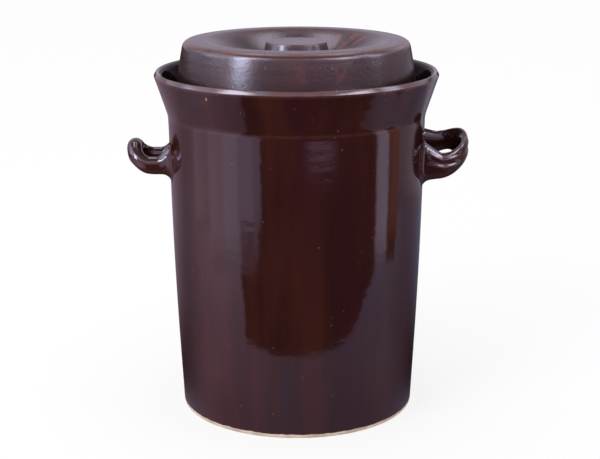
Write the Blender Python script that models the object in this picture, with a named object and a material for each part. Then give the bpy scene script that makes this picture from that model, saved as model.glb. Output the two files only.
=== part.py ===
"""Glazed stoneware fermentation crock with a water gutter, a lid and two weight stones.

Run with: blender --background --python part.py
Units are metres, +Z is up, the pot's axis is the Z axis and its foot stands on Z = 0.
"""

import math

import bmesh
import bpy
from mathutils import Matrix, Vector

# Pot
RIM_HEIGHT = 0.3426
FOOT_RADIUS = 0.1170
SEAM_RADIUS = 0.1270  # outside radius where the collar is set on
BELLY = 0.0019  # how far the wall swells at half height
WALL = 0.0110
FLOOR_THICKNESS = 0.0140
FOOT_ROUND = 0.0026
INSIDE_ROUND = 0.0070  # between the wall and the floor

# Collar, which is the gutter's outer wall
RIM_RADIUS = 0.1400
COLLAR_HEIGHT = 0.0450  # from the seam to the rim
COLLAR_THICKNESS = 0.0084
COLLAR_SEAT = 0.0088  # width of the ledge that the collar stands on

# Gutter and neck
GUTTER_DEPTH = 0.0306
GUTTER_FLOOR = 0.0100  # thickness of the clay under the water
GUTTER_ROUND = 0.0040
NECK_SIDE_GAP = 0.0041  # between the neck and the inside of the lid's skirt
NECK_THICKNESS = 0.0080
NECK_RISE = 0.0045  # the neck stands this far above the rim
NECK_ROUND = 0.0036
SHOULDER_ROUND = 0.0180

# Lid
LID_SIDE_GAP = 0.0033  # between the skirt and the gutter's outer wall
LID_HEIGHT = 0.0592
LID_THICKNESS = 0.0080
SKIRT_LEAN = 0.0084  # how far the skirt draws in from bottom to shoulder
SKIRT_EDGE_ROUND = 0.0030
LID_SHOULDER_ROUND = 0.0048
CREST_RADIUS = 0.0920
DISH_RADIUS = 0.0380  # the dish is flat inside this radius
DISH_DEPTH = 0.0220
SHOULDER_DROP = 0.0008  # the lid's shoulder lies this far below its crest
GAS_NOTCH_RADIUS = 0.0060

# Knob
KNOB_RADIUS = 0.0303
KNOB_FLARE = 0.0014  # the knob is wider at its base by this
KNOB_HEIGHT = 0.0195
KNOB_ROUND = 0.0028

# Weight stones
STONE_THICKNESS = 0.0200
STONE_SIDE_GAP = 0.0020  # to the rounding between the wall and the floor
STONE_SPLIT = 0.0040  # between the two straight edges
STONE_ROUND = 0.0030
STONE_HOLE_RADIUS = 0.0125
STONE_HOLE_OFFSET = 0.0450  # from the pot's axis

# Handles: both are loops of clay that run out, droop and curl up
HANDLE_SPAN = 0.0500  # between the middles of the two legs
HANDLE_NOSE = 0.0300  # length of the rounded end
ROOT_FLARE_LENGTH = 0.0140
ROOT_DEPTH = 0.0040  # each leg is drawn from this far inside the wall, then trimmed
GROOVE_WIDTH = 0.35  # share of the strap's half height
HANDLES = {
    "handle_left": {
        "side": -1,
        "below_seam": 0.0443,
        "run": 0.0195,
        "droop": 9,
        "curl_radius": 0.0180,
        "curl": 72,
        "tilt": 0.0,
        "thick": 0.0150,
        "tall": 0.0190,
        "tip_thick": 0.0160,
        "tip_tall": 0.0180,
        "root_thick": 0.0020,
        "root_tall": 0.0030,
        "root_drop": 0.0010,
        "groove": 0.0010,
        "bow": 0.0,
    },
    "handle_right": {
        "side": 1,
        "below_seam": 0.0401,
        "run": 0.0220,
        "droop": 3,
        "curl_radius": 0.0270,
        "curl": 54,
        "tilt": 0.0130,
        "thick": 0.0120,
        "tall": 0.0220,
        "tip_thick": 0.0110,
        "tip_tall": 0.0310,
        "root_thick": 0.0020,
        "root_tall": 0.0050,
        "root_drop": 0.0030,
        "groove": 0.0020,
        "bow": 0.0050,
    },
}

# Fit and fineness
GAP = 0.0003  # between pieces that touch
SEGMENTS = 56  # round each turned piece
KNOB_SEGMENTS = 40
HOLE_SEGMENTS = 20
WALL_STEPS = 7
SKIRT_STEPS = 5
DISH_STEPS = 7
ARC_STEP = math.radians(30)  # a rounding has a point at least this often
LEG_RINGS = 4
NOSE_RINGS = 12
HANDLE_SIDES = 14
SKIRT_POWER = 1.45
SHARED_SIDE = 0.48  # share of a side that a rounding may take where both ends are round
WHOLE_SIDE = 0.95  # the same where only one end is
MERGE = 1e-6
SHARP = math.radians(40)  # edges steeper than this stay crisp or get a rounding

SEAM_HEIGHT = RIM_HEIGHT - COLLAR_HEIGHT
GUTTER_LEVEL = RIM_HEIGHT - GUTTER_DEPTH
LIP_RADIUS = COLLAR_THICKNESS / 2
LIP_CENTRE = Vector((RIM_RADIUS - LIP_RADIUS, RIM_HEIGHT - LIP_RADIUS))
JOINT_RADIUS = SEAM_RADIUS - COLLAR_SEAT
NECK_TOP = RIM_HEIGHT + NECK_RISE
LID_BOTTOM = GUTTER_LEVEL + GAP
LID_TOP = LID_BOTTOM + LID_HEIGHT
DISH_LEVEL = LID_TOP - DISH_DEPTH
STONE_BOTTOM = FLOOR_THICKNESS + GAP


def clear_scene():
    for item in list(bpy.data.objects):
        bpy.data.objects.remove(item, do_unlink=True)


def clay(name, colour, roughness, coat=0.0):
    """A Principled material; colour is linear RGB."""
    material = bpy.data.materials.new(name)
    material.use_nodes = True
    shader = material.node_tree.nodes["Principled BSDF"]
    shader.inputs["Base Color"].default_value = (*colour, 1.0)
    shader.inputs["Roughness"].default_value = roughness
    shader.inputs["Metallic"].default_value = 0.0
    shader.inputs["Coat Weight"].default_value = coat
    material.diffuse_color = (*colour, 1.0)
    return material


def object_from(bm, name, material):
    """Closes up the mesh, turns its faces outwards and makes it an object."""
    bmesh.ops.remove_doubles(bm, verts=bm.verts, dist=MERGE)
    bmesh.ops.recalc_face_normals(bm, faces=bm.faces)
    mesh = bpy.data.meshes.new(name)
    bm.to_mesh(mesh)
    bm.free()
    mesh.shade_smooth()
    mesh.set_sharp_from_angle(angle=SHARP)
    if material:
        mesh.materials.append(material)
    made = bpy.data.objects.new(name, mesh)
    bpy.context.scene.collection.objects.link(made)
    return made


def cutter(made):
    """Marks an object as a tool for a Boolean, which is left out of the part."""
    made.hide_render = True
    made.display_type = "WIRE"
    return made


def cut(target, tool):
    boolean = target.modifiers.new("cut_" + tool.name, "BOOLEAN")
    boolean.operation = "DIFFERENCE"
    boolean.solver = "EXACT"
    boolean.object = tool


def arc(centre, radius, start, end):
    """Points on a circle in the profile's plane, from one angle to another."""
    steps = max(1, math.ceil(abs(end - start) / ARC_STEP))
    angles = [start + (end - start) * step / steps for step in range(steps + 1)]
    return [centre + radius * Vector((math.cos(a), math.sin(a))) for a in angles]


def room(here, neighbour):
    """How much of the straight side up to the next corner a rounding may take."""
    length = (Vector(neighbour[:2]) - here).length
    return length * (SHARED_SIDE if neighbour[2] else WHOLE_SIDE)


def rounded(corners):
    """An open outline from (radius, height, rounding) corners; the two ends stay sharp."""
    points = []
    last = len(corners) - 1
    for index, (x, z, rounding) in enumerate(corners):
        here = Vector((x, z))
        if rounding == 0 or index in (0, last):
            points.append(here)
            continue
        before = (Vector(corners[index - 1][:2]) - here).normalized()
        after = (Vector(corners[index + 1][:2]) - here).normalized()
        half = before.angle(after) / 2
        side = min(room(here, corners[index - 1]), room(here, corners[index + 1]))
        rounding = min(rounding, side * math.tan(half))
        centre = here + (before + after).normalized() * rounding / math.sin(half)
        touch_in = here + before * rounding / math.tan(half)
        touch_out = here + after * rounding / math.tan(half)
        start = math.atan2(*(touch_in - centre).yx)
        turn = math.atan2(*(touch_out - centre).yx) - start
        turn = (turn + math.pi) % math.tau - math.pi
        points += arc(centre, rounding, start, start + turn)
    return points


def turned(name, outline, material, closed=False, segments=SEGMENTS):
    """Turns an outline of (radius, height) points about the Z axis."""
    bm = bmesh.new()
    ring = [bm.verts.new((x, 0.0, z)) for x, z in outline]
    pairs = list(zip(ring, ring[1:]))
    if closed:
        pairs.append((ring[-1], ring[0]))
    edges = [bm.edges.new(pair) for pair in pairs]
    bmesh.ops.spin(
        bm,
        geom=ring + edges,
        cent=(0, 0, 0),
        axis=(0, 0, 1),
        angle=math.tau,
        steps=segments,
        use_merge=True,
    )
    return object_from(bm, name, material)


def wall_radius(height):
    """Outside radius of the pot: a straight taper with a slight swelling."""
    share = height / SEAM_HEIGHT
    taper = FOOT_RADIUS + (SEAM_RADIUS - FOOT_RADIUS) * share
    return taper + BELLY * math.sin(math.pi * min(share, 1.0))


def wall_heights(low, high):
    return [low + (high - low) * step / WALL_STEPS for step in range(WALL_STEPS + 1)]


def make_crock_body(material):
    """The pot, from the middle of its underside round to the middle of its floor."""
    outside = wall_heights(0.0, SEAM_HEIGHT)
    shoulder = GUTTER_LEVEL - GUTTER_FLOOR
    inside = wall_heights(FLOOR_THICKNESS, shoulder)
    neck = skirt_radius(NECK_TOP) - LID_THICKNESS - NECK_SIDE_GAP
    mouth = neck - NECK_THICKNESS
    corners = [(0.0, 0.0, 0)]
    corners += [(wall_radius(z), z, FOOT_ROUND if z == 0 else 0) for z in outside]
    corners += [
        (JOINT_RADIUS, SEAM_HEIGHT, 0),
        (JOINT_RADIUS, GUTTER_LEVEL, 0),
        (neck, GUTTER_LEVEL, GUTTER_ROUND),
        (neck, NECK_TOP, NECK_ROUND),
        (mouth, NECK_TOP, NECK_ROUND),
        (mouth, shoulder, 0),
        (wall_radius(shoulder) - WALL, shoulder, SHOULDER_ROUND),
    ]
    below_round = [z for z in reversed(inside) if z < shoulder - SHOULDER_ROUND]
    for z in below_round[:-1]:
        corners.append((wall_radius(z) - WALL, z, 0))
    floor_radius = wall_radius(FLOOR_THICKNESS) - WALL
    corners += [(floor_radius, FLOOR_THICKNESS, INSIDE_ROUND), (0.0, FLOOR_THICKNESS, 0)]
    return turned("crock_body", rounded(corners), material)


def collar_lean():
    """Angle of the collar's outer face: it leaves the seam and just touches the lip."""
    seam = Vector((SEAM_RADIUS, SEAM_HEIGHT + GAP)) - LIP_CENTRE
    return math.atan2(seam.y, seam.x) + math.acos(LIP_RADIUS / seam.length)


def gutter_radius(height):
    """Radius of the collar's inner face, which is the gutter's outer wall."""
    lean = collar_lean()
    rise = (height - LIP_CENTRE.y) * math.sin(lean)
    return LIP_CENTRE.x - (LIP_RADIUS + rise) / math.cos(lean)


def make_gutter_collar(material):
    lean = collar_lean()
    seat = SEAM_HEIGHT + GAP
    joint = JOINT_RADIUS + GAP
    lip = arc(LIP_CENTRE, LIP_RADIUS, lean, 0.0)
    lip += arc(LIP_CENTRE, LIP_RADIUS, 0.0, math.pi / 2)[1:]
    lip += arc(LIP_CENTRE, LIP_RADIUS, math.pi / 2, math.pi + lean)[1:]
    foot = gutter_radius(GUTTER_LEVEL)
    inner = rounded(
        [
            (gutter_radius(RIM_HEIGHT - LIP_RADIUS), RIM_HEIGHT - LIP_RADIUS, 0),
            (foot, GUTTER_LEVEL, GUTTER_ROUND),
            (joint, GUTTER_LEVEL, 0),
        ]
    )
    outline = [Vector((SEAM_RADIUS, seat))] + lip + inner[1:] + [Vector((joint, seat))]
    return turned("gutter_collar", outline, material, closed=True)


def skirt_radius(height):
    share = (height - LID_BOTTOM) / LID_HEIGHT
    bottom = gutter_radius(GUTTER_LEVEL) - LID_SIDE_GAP
    return bottom - SKIRT_LEAN * share**SKIRT_POWER


def dish(drop):
    """Points down the dish's slope, from the crest to its flat middle."""
    points = []
    for step in range(DISH_STEPS + 1):
        share = 1 - step / DISH_STEPS
        radius = DISH_RADIUS + (CREST_RADIUS - DISH_RADIUS) * share
        ease = share * share * (3 - 2 * share)
        points.append((radius, DISH_LEVEL + DISH_DEPTH * ease - drop, 0))
    return points


def make_lid_shell(material):
    """The lid, from the middle of its dish out, down the skirt and back inside."""
    shoulder = LID_TOP - SHOULDER_DROP
    heights = [
        LID_BOTTOM + (shoulder - LID_BOTTOM) * step / SKIRT_STEPS
        for step in range(SKIRT_STEPS + 1)
    ]
    ceiling = shoulder - LID_THICKNESS
    skirt = [(skirt_radius(z), z, 0) for z in heights[1:-1]]
    lining = [(skirt_radius(z) - LID_THICKNESS, z, 0) for z in heights[1:-2]]
    edge = skirt_radius(LID_BOTTOM)
    corners = [(0.0, DISH_LEVEL, 0)]
    corners += list(reversed(dish(0.0)))
    corners.append((skirt_radius(shoulder), shoulder, LID_SHOULDER_ROUND))
    corners += list(reversed(skirt))
    corners += [
        (edge, LID_BOTTOM, SKIRT_EDGE_ROUND),
        (edge - LID_THICKNESS, LID_BOTTOM, SKIRT_EDGE_ROUND),
    ]
    corners += lining
    corners.append((skirt_radius(ceiling) - LID_THICKNESS, ceiling, LID_SHOULDER_ROUND))
    corners += dish(LID_THICKNESS + SHOULDER_DROP)
    corners.append((0.0, DISH_LEVEL - LID_THICKNESS - SHOULDER_DROP, 0))
    lid = turned("lid_shell", rounded(corners), material)
    cut(lid, make_notch_cutter())
    return lid


def make_notch_cutter():
    """A round bar across the lid's edge: it cuts one gas notch at the front, one behind."""
    bm = bmesh.new()
    reach = 2 * RIM_RADIUS
    bmesh.ops.create_cone(
        bm,
        cap_ends=True,
        segments=12,
        radius1=GAS_NOTCH_RADIUS,
        radius2=GAS_NOTCH_RADIUS,
        depth=reach,
        matrix=Matrix.Rotation(math.pi / 2, 4, "X"),
    )
    bar = object_from(bm, "notch_cutter", None)
    bar.location = (0.0, 0.0, LID_BOTTOM)
    return cutter(bar)


def make_lid_knob(material):
    base = DISH_LEVEL + GAP
    top = DISH_LEVEL + KNOB_HEIGHT
    corners = [
        (0.0, base, 0),
        (KNOB_RADIUS + KNOB_FLARE, base, 0),
        (KNOB_RADIUS, top, KNOB_ROUND),
        (0.0, top, 0),
    ]
    return turned("lid_knob", rounded(corners), material, segments=KNOB_SEGMENTS)


def make_stone(name, side, material):
    """Half of a round stone: its straight edge faces the other half."""
    radius = wall_radius(FLOOR_THICKNESS) - WALL - INSIDE_ROUND - STONE_SIDE_GAP
    edge = STONE_SPLIT / 2
    start = math.asin(edge / radius)
    steps = SEGMENTS // 2
    bm = bmesh.new()
    corners = []
    for step in range(steps + 1):
        angle = start + (math.pi - 2 * start) * step / steps
        place = (side * radius * math.sin(angle), radius * math.cos(angle), STONE_BOTTOM)
        corners.append(bm.verts.new(place))
    face = bm.faces.new(corners)
    top = bmesh.ops.extrude_face_region(bm, geom=[face])["geom"]
    raised = [item for item in top if isinstance(item, bmesh.types.BMVert)]
    bmesh.ops.translate(bm, verts=raised, vec=(0, 0, STONE_THICKNESS))
    bm.normal_update()
    sharp = [edge for edge in bm.edges if edge.calc_face_angle() > SHARP]
    bmesh.ops.bevel(
        bm,
        geom=sharp,
        offset=STONE_ROUND,
        segments=2,
        profile=0.5,
        affect="EDGES",
        clamp_overlap=False,
    )
    stone = object_from(bm, name, material)
    hole = turned(name + "_hole_cutter", hole_outline(), None, segments=HOLE_SEGMENTS)
    hole.location = (side * STONE_HOLE_OFFSET, 0.0, STONE_BOTTOM)
    cut(stone, cutter(hole))
    return stone


def hole_outline():
    """A bar that flares at both faces of the stone, so that the hole's edges are round."""
    wide = STONE_HOLE_RADIUS + STONE_ROUND
    past = STONE_ROUND
    low = arc(Vector((wide, STONE_ROUND)), STONE_ROUND, -math.pi / 2, -math.pi)
    high = arc(
        Vector((wide, STONE_THICKNESS - STONE_ROUND)), STONE_ROUND, math.pi, math.pi / 2
    )
    ends = [Vector((0.0, -past)), Vector((wide, -past))]
    tops = [Vector((wide, STONE_THICKNESS + past)), Vector((0.0, STONE_THICKNESS + past))]
    return ends + low + high + tops


def ease(share):
    share = max(0.0, min(1.0, share))
    return share * share * (3 - 2 * share)


def hook(shape, along):
    """Place on the handle's side view: it runs out from the wall, droops, then curls up."""
    droop = math.radians(shape["droop"])
    start = wall_radius(SEAM_HEIGHT - shape["below_seam"]) - ROOT_DEPTH
    out = Vector((math.cos(droop), -math.sin(droop)))
    if along < shape["run"]:
        return Vector((start, 0.0)) + out * along
    turn = (along - shape["run"]) / shape["curl_radius"] - droop
    bend = Vector((start, 0.0)) + out * shape["run"]
    centre = bend + shape["curl_radius"] * Vector((math.sin(droop), math.cos(droop)))
    return centre + shape["curl_radius"] * Vector((math.sin(turn), -math.cos(turn)))


def handle_path(shape):
    """Points of the loop's middle line, each with its distance along and its share of tip."""
    length = shape["run"] + shape["curl_radius"] * math.radians(
        shape["curl"] + shape["droop"]
    )
    leg = length - HANDLE_NOSE
    half = HANDLE_SPAN / 2
    places = [(leg * i / LEG_RINGS, -half, 0.0) for i in range(LEG_RINGS)]
    for i in range(NOSE_RINGS + 1):
        angle = math.pi * i / NOSE_RINGS
        bulge = math.sin(angle)
        places.append((leg + HANDLE_NOSE * bulge, -half * math.cos(angle), bulge))
    places += [(leg * i / LEG_RINGS, half, 0.0) for i in reversed(range(LEG_RINGS))]
    path = []
    level = SEAM_HEIGHT - shape["below_seam"]
    for along, across, tip in places:
        flat = hook(shape, along)
        height = level + flat.y + shape["tilt"] * across / HANDLE_SPAN
        root = 1 - ease(along / ROOT_FLARE_LENGTH) if tip == 0 else 0.0
        path.append((Vector((flat.x, across, height)), root, ease(tip)))
    return path


def handle_section(shape, root, tip):
    """The strap's section as (outward, upward) points, with a groove down its outer face."""
    thick = shape["thick"] + (shape["tip_thick"] - shape["thick"]) * tip
    tall = shape["tall"] + (shape["tip_tall"] - shape["tall"]) * tip
    thick = thick / 2 + shape["root_thick"] * root
    tall = tall / 2 + shape["root_tall"] * root
    points = []
    for side in range(HANDLE_SIDES):
        angle = math.tau * side / HANDLE_SIDES
        outward = thick * math.cos(angle)
        upward = tall * math.sin(angle)
        level = upward / tall
        if outward > 0:
            outward -= shape["groove"] * (1 - root) * math.exp(-((level / GROOVE_WIDTH) ** 2))
        outward -= shape["bow"] * tip * level**2
        points.append((outward, upward - shape["root_drop"] * root))
    return points


def make_handle(name, shape, material, wall_cutter):
    """A loop of clay whose two roots end on the pot's wall."""
    path = handle_path(shape)
    bm = bmesh.new()
    rings = []
    for index, (place, root, tip) in enumerate(path):
        before = path[max(0, index - 1)][0]
        after = path[min(len(path) - 1, index + 1)][0]
        along = (after - before).normalized()
        outward = along.cross(Vector((0, 0, 1))).normalized()
        upward = outward.cross(along)
        ring = []
        for out, up in handle_section(shape, root, tip):
            point = place + outward * out + upward * up
            ring.append(bm.verts.new((shape["side"] * point.x, point.y, point.z)))
        rings.append(ring)
    for low, high in zip(rings, rings[1:]):
        for index in range(HANDLE_SIDES):
            following = (index + 1) % HANDLE_SIDES
            bm.faces.new((low[index], low[following], high[following], high[index]))
    bm.faces.new(rings[0])
    bm.faces.new(rings[-1])
    handle = object_from(bm, name, material)
    cut(handle, wall_cutter)
    return handle


def make_wall_cutter():
    """The pot's outside, larger by the gap, which trims the handles' roots to the wall."""
    outline = [Vector((0.0, 0.0))]
    outline += [Vector((wall_radius(z) + GAP, z)) for z in wall_heights(0.0, SEAM_HEIGHT)]
    outline.append(Vector((0.0, SEAM_HEIGHT)))
    return cutter(turned("wall_cutter", outline, None))


def build():
    clear_scene()
    glaze = clay("brown_glaze", (0.035, 0.010, 0.009), 0.16, coat=0.5)
    knob_glaze = clay("knob_glaze", (0.045, 0.013, 0.011), 0.18, coat=0.5)
    handle_glaze = clay("handle_glaze", (0.030, 0.010, 0.010), 0.15, coat=0.5)
    stone_clay = clay("unglazed_clay", (0.42, 0.33, 0.25), 0.85)
    pot = bpy.data.objects.new("pot", None)
    lid = bpy.data.objects.new("lid", None)
    lid.location = (0.0, 0.0, LID_BOTTOM)
    for empty in (pot, lid):
        bpy.context.scene.collection.objects.link(empty)
    bpy.context.view_layer.update()
    wall_cutter = make_wall_cutter()
    pot_pieces = [make_crock_body(glaze), make_gutter_collar(glaze)]
    for name, shape in HANDLES.items():
        pot_pieces.append(make_handle(name, shape, handle_glaze, wall_cutter))
    for piece in pot_pieces:
        piece.parent = pot
    for piece in (make_lid_shell(glaze), make_lid_knob(knob_glaze)):
        piece.parent = lid
        piece.matrix_parent_inverse = lid.matrix_world.inverted()
    make_stone("weight_stone_left", -1, stone_clay)
    make_stone("weight_stone_right", 1, stone_clay)


build()
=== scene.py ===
"""Fermentation crock: the fine surface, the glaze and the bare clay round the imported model.

Lengths are in metres, +Z is up, and the viewer stands on the -Y side and looks a little down.
"""

import math

import bmesh
import bpy
from bpy.props import FloatProperty, FloatVectorProperty, IntProperty, PointerProperty
from mathutils import Matrix, Vector, noise
from mathutils.bvhtree import BVHTree


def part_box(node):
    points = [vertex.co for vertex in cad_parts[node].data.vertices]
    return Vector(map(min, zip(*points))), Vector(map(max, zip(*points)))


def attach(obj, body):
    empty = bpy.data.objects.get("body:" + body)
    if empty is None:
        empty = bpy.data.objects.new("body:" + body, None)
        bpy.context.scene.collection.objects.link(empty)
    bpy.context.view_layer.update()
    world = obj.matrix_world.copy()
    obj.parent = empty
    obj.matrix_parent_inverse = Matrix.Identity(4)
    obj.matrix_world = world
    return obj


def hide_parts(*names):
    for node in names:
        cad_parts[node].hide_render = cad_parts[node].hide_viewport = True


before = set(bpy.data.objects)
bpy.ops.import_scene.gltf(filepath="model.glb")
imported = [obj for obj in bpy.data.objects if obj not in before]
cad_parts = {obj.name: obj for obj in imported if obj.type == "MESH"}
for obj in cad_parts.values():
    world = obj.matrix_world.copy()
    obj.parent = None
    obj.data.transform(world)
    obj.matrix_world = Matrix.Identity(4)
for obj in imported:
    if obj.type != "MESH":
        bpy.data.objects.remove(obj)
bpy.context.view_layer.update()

bl_info = {
    "name": "Fermentation Crock",
    "version": (1, 0, 0),
    "blender": (4, 5, 0),
    "location": "3D Viewport > Sidebar > Crock",
    "description": "Makes a glazed stoneware crock with its lid, handles and weight stones",
    "category": "Object",
}

COLLAR_LOW, COLLAR_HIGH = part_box("gutter_collar")
_, BODY_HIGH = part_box("crock_body")
LID_LOW, LID_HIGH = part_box("lid_shell")
KNOB_LOW, KNOB_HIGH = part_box("lid_knob")

RIM_RADIUS = COLLAR_HIGH.y
RIM_HEIGHT = COLLAR_HIGH.z
SEAM_HEIGHT = COLLAR_LOW.z
SEAM_RADIUS = BODY_HIGH.y
NECK_TOP = BODY_HIGH.z
LID_RADIUS = LID_HIGH.y
LID_BOTTOM = LID_LOW.z
LID_TOP = LID_HIGH.z

ARC_STEP = math.radians(9)
SHARP = math.radians(50)  # a turned piece's edges stay sharp above this angle
FINE = 0.0022  # longest side of a turned outline
COARSE = 0.0060  # the same for the pot, which is large
WALL_STEPS = 40  # points up the pot's wall, and up the collar's
CURVE_BLUR = 0.0012  # how far along an outline its curvature is evened out
NO_CLAY = -1.0  # value of the "bare" attribute where glaze covers everything
ALL_CLAY = 2.0  # its value where no glaze is left
CLAY_MARGIN = 0.0015  # "bare" passes this value at the glaze's edge
CARRIED = ("thin", "bare", "hand", "pits")  # what an outline's points tell the surface
SEAM_THIN = 0.22  # how far the glaze breaks in the crease under the collar
GUTTER_SHADE = 0.88  # how strongly painted shade darkens the gutter's recess, as a dark matt diffuse over the glaze
BEVEL_LEAD = 0.12  # the lip's round ends this far before its bevel, in radians
DIP_PLACE = 0.015  # a handle's upper edge dips this far before its tip
TUCK_PLACE = 0.012  # its lower edge is tucked up this far before its tip
TIP_ZONE = 0.009  # how far along the handle each of these fades out
SMALLEST_PIT, LARGEST_PIT = 0.0007, 0.0018  # how wide a pinhole is
SHADOW_TONE = (0.30, 0.30, 0.30)  # the floor's colour to the camera, which the shadow darkens
FLOOR_GLOW = 0.74  # light added to that for the camera, so that the rest of the floor is white

# glaze runs: colour, degrees from the viewer's side, top, bottom, slant in degrees, half width
BLUE_RUN = (0.020, 0.0105, 0.0165)
RUST_RUN = (0.070, 0.018, 0.011)
DISH_RUN = (0.120, 0.036, 0.018)
POT_RUNS = (
    (BLUE_RUN, -4.6, 0.071, 0.046, 0.0, 0.0045),
    (BLUE_RUN, -5.2, 0.052, 0.026, -0.6, 0.0030),
)
LID_RUNS = (
    (RUST_RUN, 26.0, LID_TOP - 0.008, RIM_HEIGHT, -7.0, 0.0040),
    (RUST_RUN, 18.0, LID_TOP - 0.012, RIM_HEIGHT + 0.002, 3.0, 0.0036),
    (RUST_RUN, 1.0, LID_TOP - 0.010, RIM_HEIGHT, 2.0, 0.0070),
    (DISH_RUN, 131.0, LID_TOP - 0.001, LID_TOP - 0.019, 0.0, 0.0070),
    (DISH_RUN, 118.0, LID_TOP - 0.001, LID_TOP - 0.016, 5.0, 0.0050),
    (DISH_RUN, 145.0, LID_TOP - 0.003, LID_TOP - 0.020, -4.0, 0.0040),
)

# spots: degrees from the viewer's side, height, width, height of the mark, lean, bareness
COLLAR_SPOTS = ((-36.6, 0.3300, 0.0040, 0.0070, -30.0, ALL_CLAY),)
WALL_SPOTS = ((-63.0, 0.2533, 0.0020, 0.0018, 0.0, ALL_CLAY),)
LID_SPOTS = ((1.0, 0.3622, 0.0054, 0.0034, 0.0, NO_CLAY),)


def length(name, description, default):
    return FloatProperty(
        name=name, description=description, default=default, unit="LENGTH", precision=4
    )


def share(name, description, default):
    return FloatProperty(
        name=name, description=description, default=default, subtype="FACTOR", min=0, max=1
    )


def angle(name, description, degrees):
    return FloatProperty(
        name=name, description=description, default=math.radians(degrees), unit="ROTATION"
    )


def colour(name, description, default):
    return FloatVectorProperty(
        name=name, description=description, default=default, subtype="COLOR", min=0, max=1
    )


def count(name, description, default):
    return IntProperty(name=name, description=description, default=default, min=3)


class CrockPotSizes(bpy.types.PropertyGroup):
    foot_radius: length("Foot radius", "Outside radius of the foot", 0.1170)
    belly: length("Belly", "How far the wall swells at half height", 0.0019)
    wall: length("Wall", "Thickness of the wall", 0.0110)
    floor: length("Floor", "Thickness of the floor", 0.0140)
    foot_round: length("Foot rounding", "Rounding round the foot", 0.0026)
    inside_round: length("Inside rounding", "Rounding from the wall to the floor", 0.0070)
    shoulder_round: length("Shoulder rounding", "Rounding under the shoulder", 0.0180)
    clay_line: length("Clay line", "The glaze ends this far above the foot", 0.0042)
    collar_thickness: length("Collar thickness", "Thickness of the gutter's wall", 0.0084)
    lip_drop: length("Lip drop", "The lip's round lies this far under the rim", 0.0005)
    bevel_low: angle("Bevel's lower edge", "Where round the lip its bevel starts", -6)
    bevel_high: angle("Bevel's upper edge", "Where round the lip its bevel ends", 62)
    bevel_round: length("Bevel rounding", "Rounding of the bevel's lower edge", 0.0007)
    crest_round: length("Crest rounding", "Rounding of the bevel's upper edge", 0.0009)
    lip_round: length("Lip rounding", "Rounding from the lip into the gutter", 0.0020)
    collar_seat: length("Collar seat", "Width of the ledge under the collar", 0.0088)
    seam_fill: length("Seam filling", "How far glaze fills the corner at the seam", 0.00035)
    seam_reach: length("Seam reach", "How far from the seam the filling reaches", 0.0050)
    gutter_depth: length("Gutter depth", "From the rim to the gutter's floor", 0.0306)
    gutter_floor: length("Gutter floor", "Clay under the gutter", 0.0100)
    gutter_round: length("Gutter rounding", "Rounding in the gutter's corners", 0.0040)
    neck_radius: length("Neck radius", "Outside radius of the neck", 0.1035)
    neck_thickness: length("Neck thickness", "Thickness of the neck", 0.0080)
    neck_round: length("Neck rounding", "Rounding on top of the neck", 0.0036)
    segments: count("Segments", "Steps round each turned piece", 288)


class CrockLidSizes(bpy.types.PropertyGroup):
    thickness: length("Thickness", "Thickness of the lid", 0.0080)
    skirt_lean: length("Skirt lean", "How far the skirt draws in towards its top", 0.0084)
    skirt_power: FloatProperty(
        name="Skirt curve", description="How late the skirt draws in", default=1.45
    )
    skirt_round: length("Edge rounding", "Rounding of the skirt's lower edge", 0.0030)
    shoulder_round: length("Shoulder rounding", "Rounding of the lid's shoulder", 0.0075)
    shoulder_drop: length("Shoulder drop", "The shoulder lies this far under the crest", 0.0008)
    crest_radius: length("Crest radius", "Radius of the lid's highest ring", 0.0920)
    dish_radius: length("Dish radius", "The dish is flat inside this radius", 0.0380)
    dish_depth: length("Dish depth", "From the crest to the dish", 0.0220)
    notch_radius: length("Gas notch", "Radius of the two notches in the lower edge", 0.0060)
    clay_line: length("Clay line", "The glaze ends this far above the lower edge", 0.0022)
    knob_flare: length("Knob flare", "The knob is wider at its base by this", 0.0002)
    knob_chamfer: length("Knob slope", "How far the knob's side leans in near its top", 0.0019)
    knob_slope: length("Knob slope height", "The side leans in above this, from the top", 0.0080)
    knob_round: length("Knob rounding", "Rounding of the knob's edge", 0.0010)
    knob_crown: length("Knob crown", "How far the knob's top is sunk in its middle", 0.0005)
    knob_segments: count("Knob segments", "Steps round the knob", 144)


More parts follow.
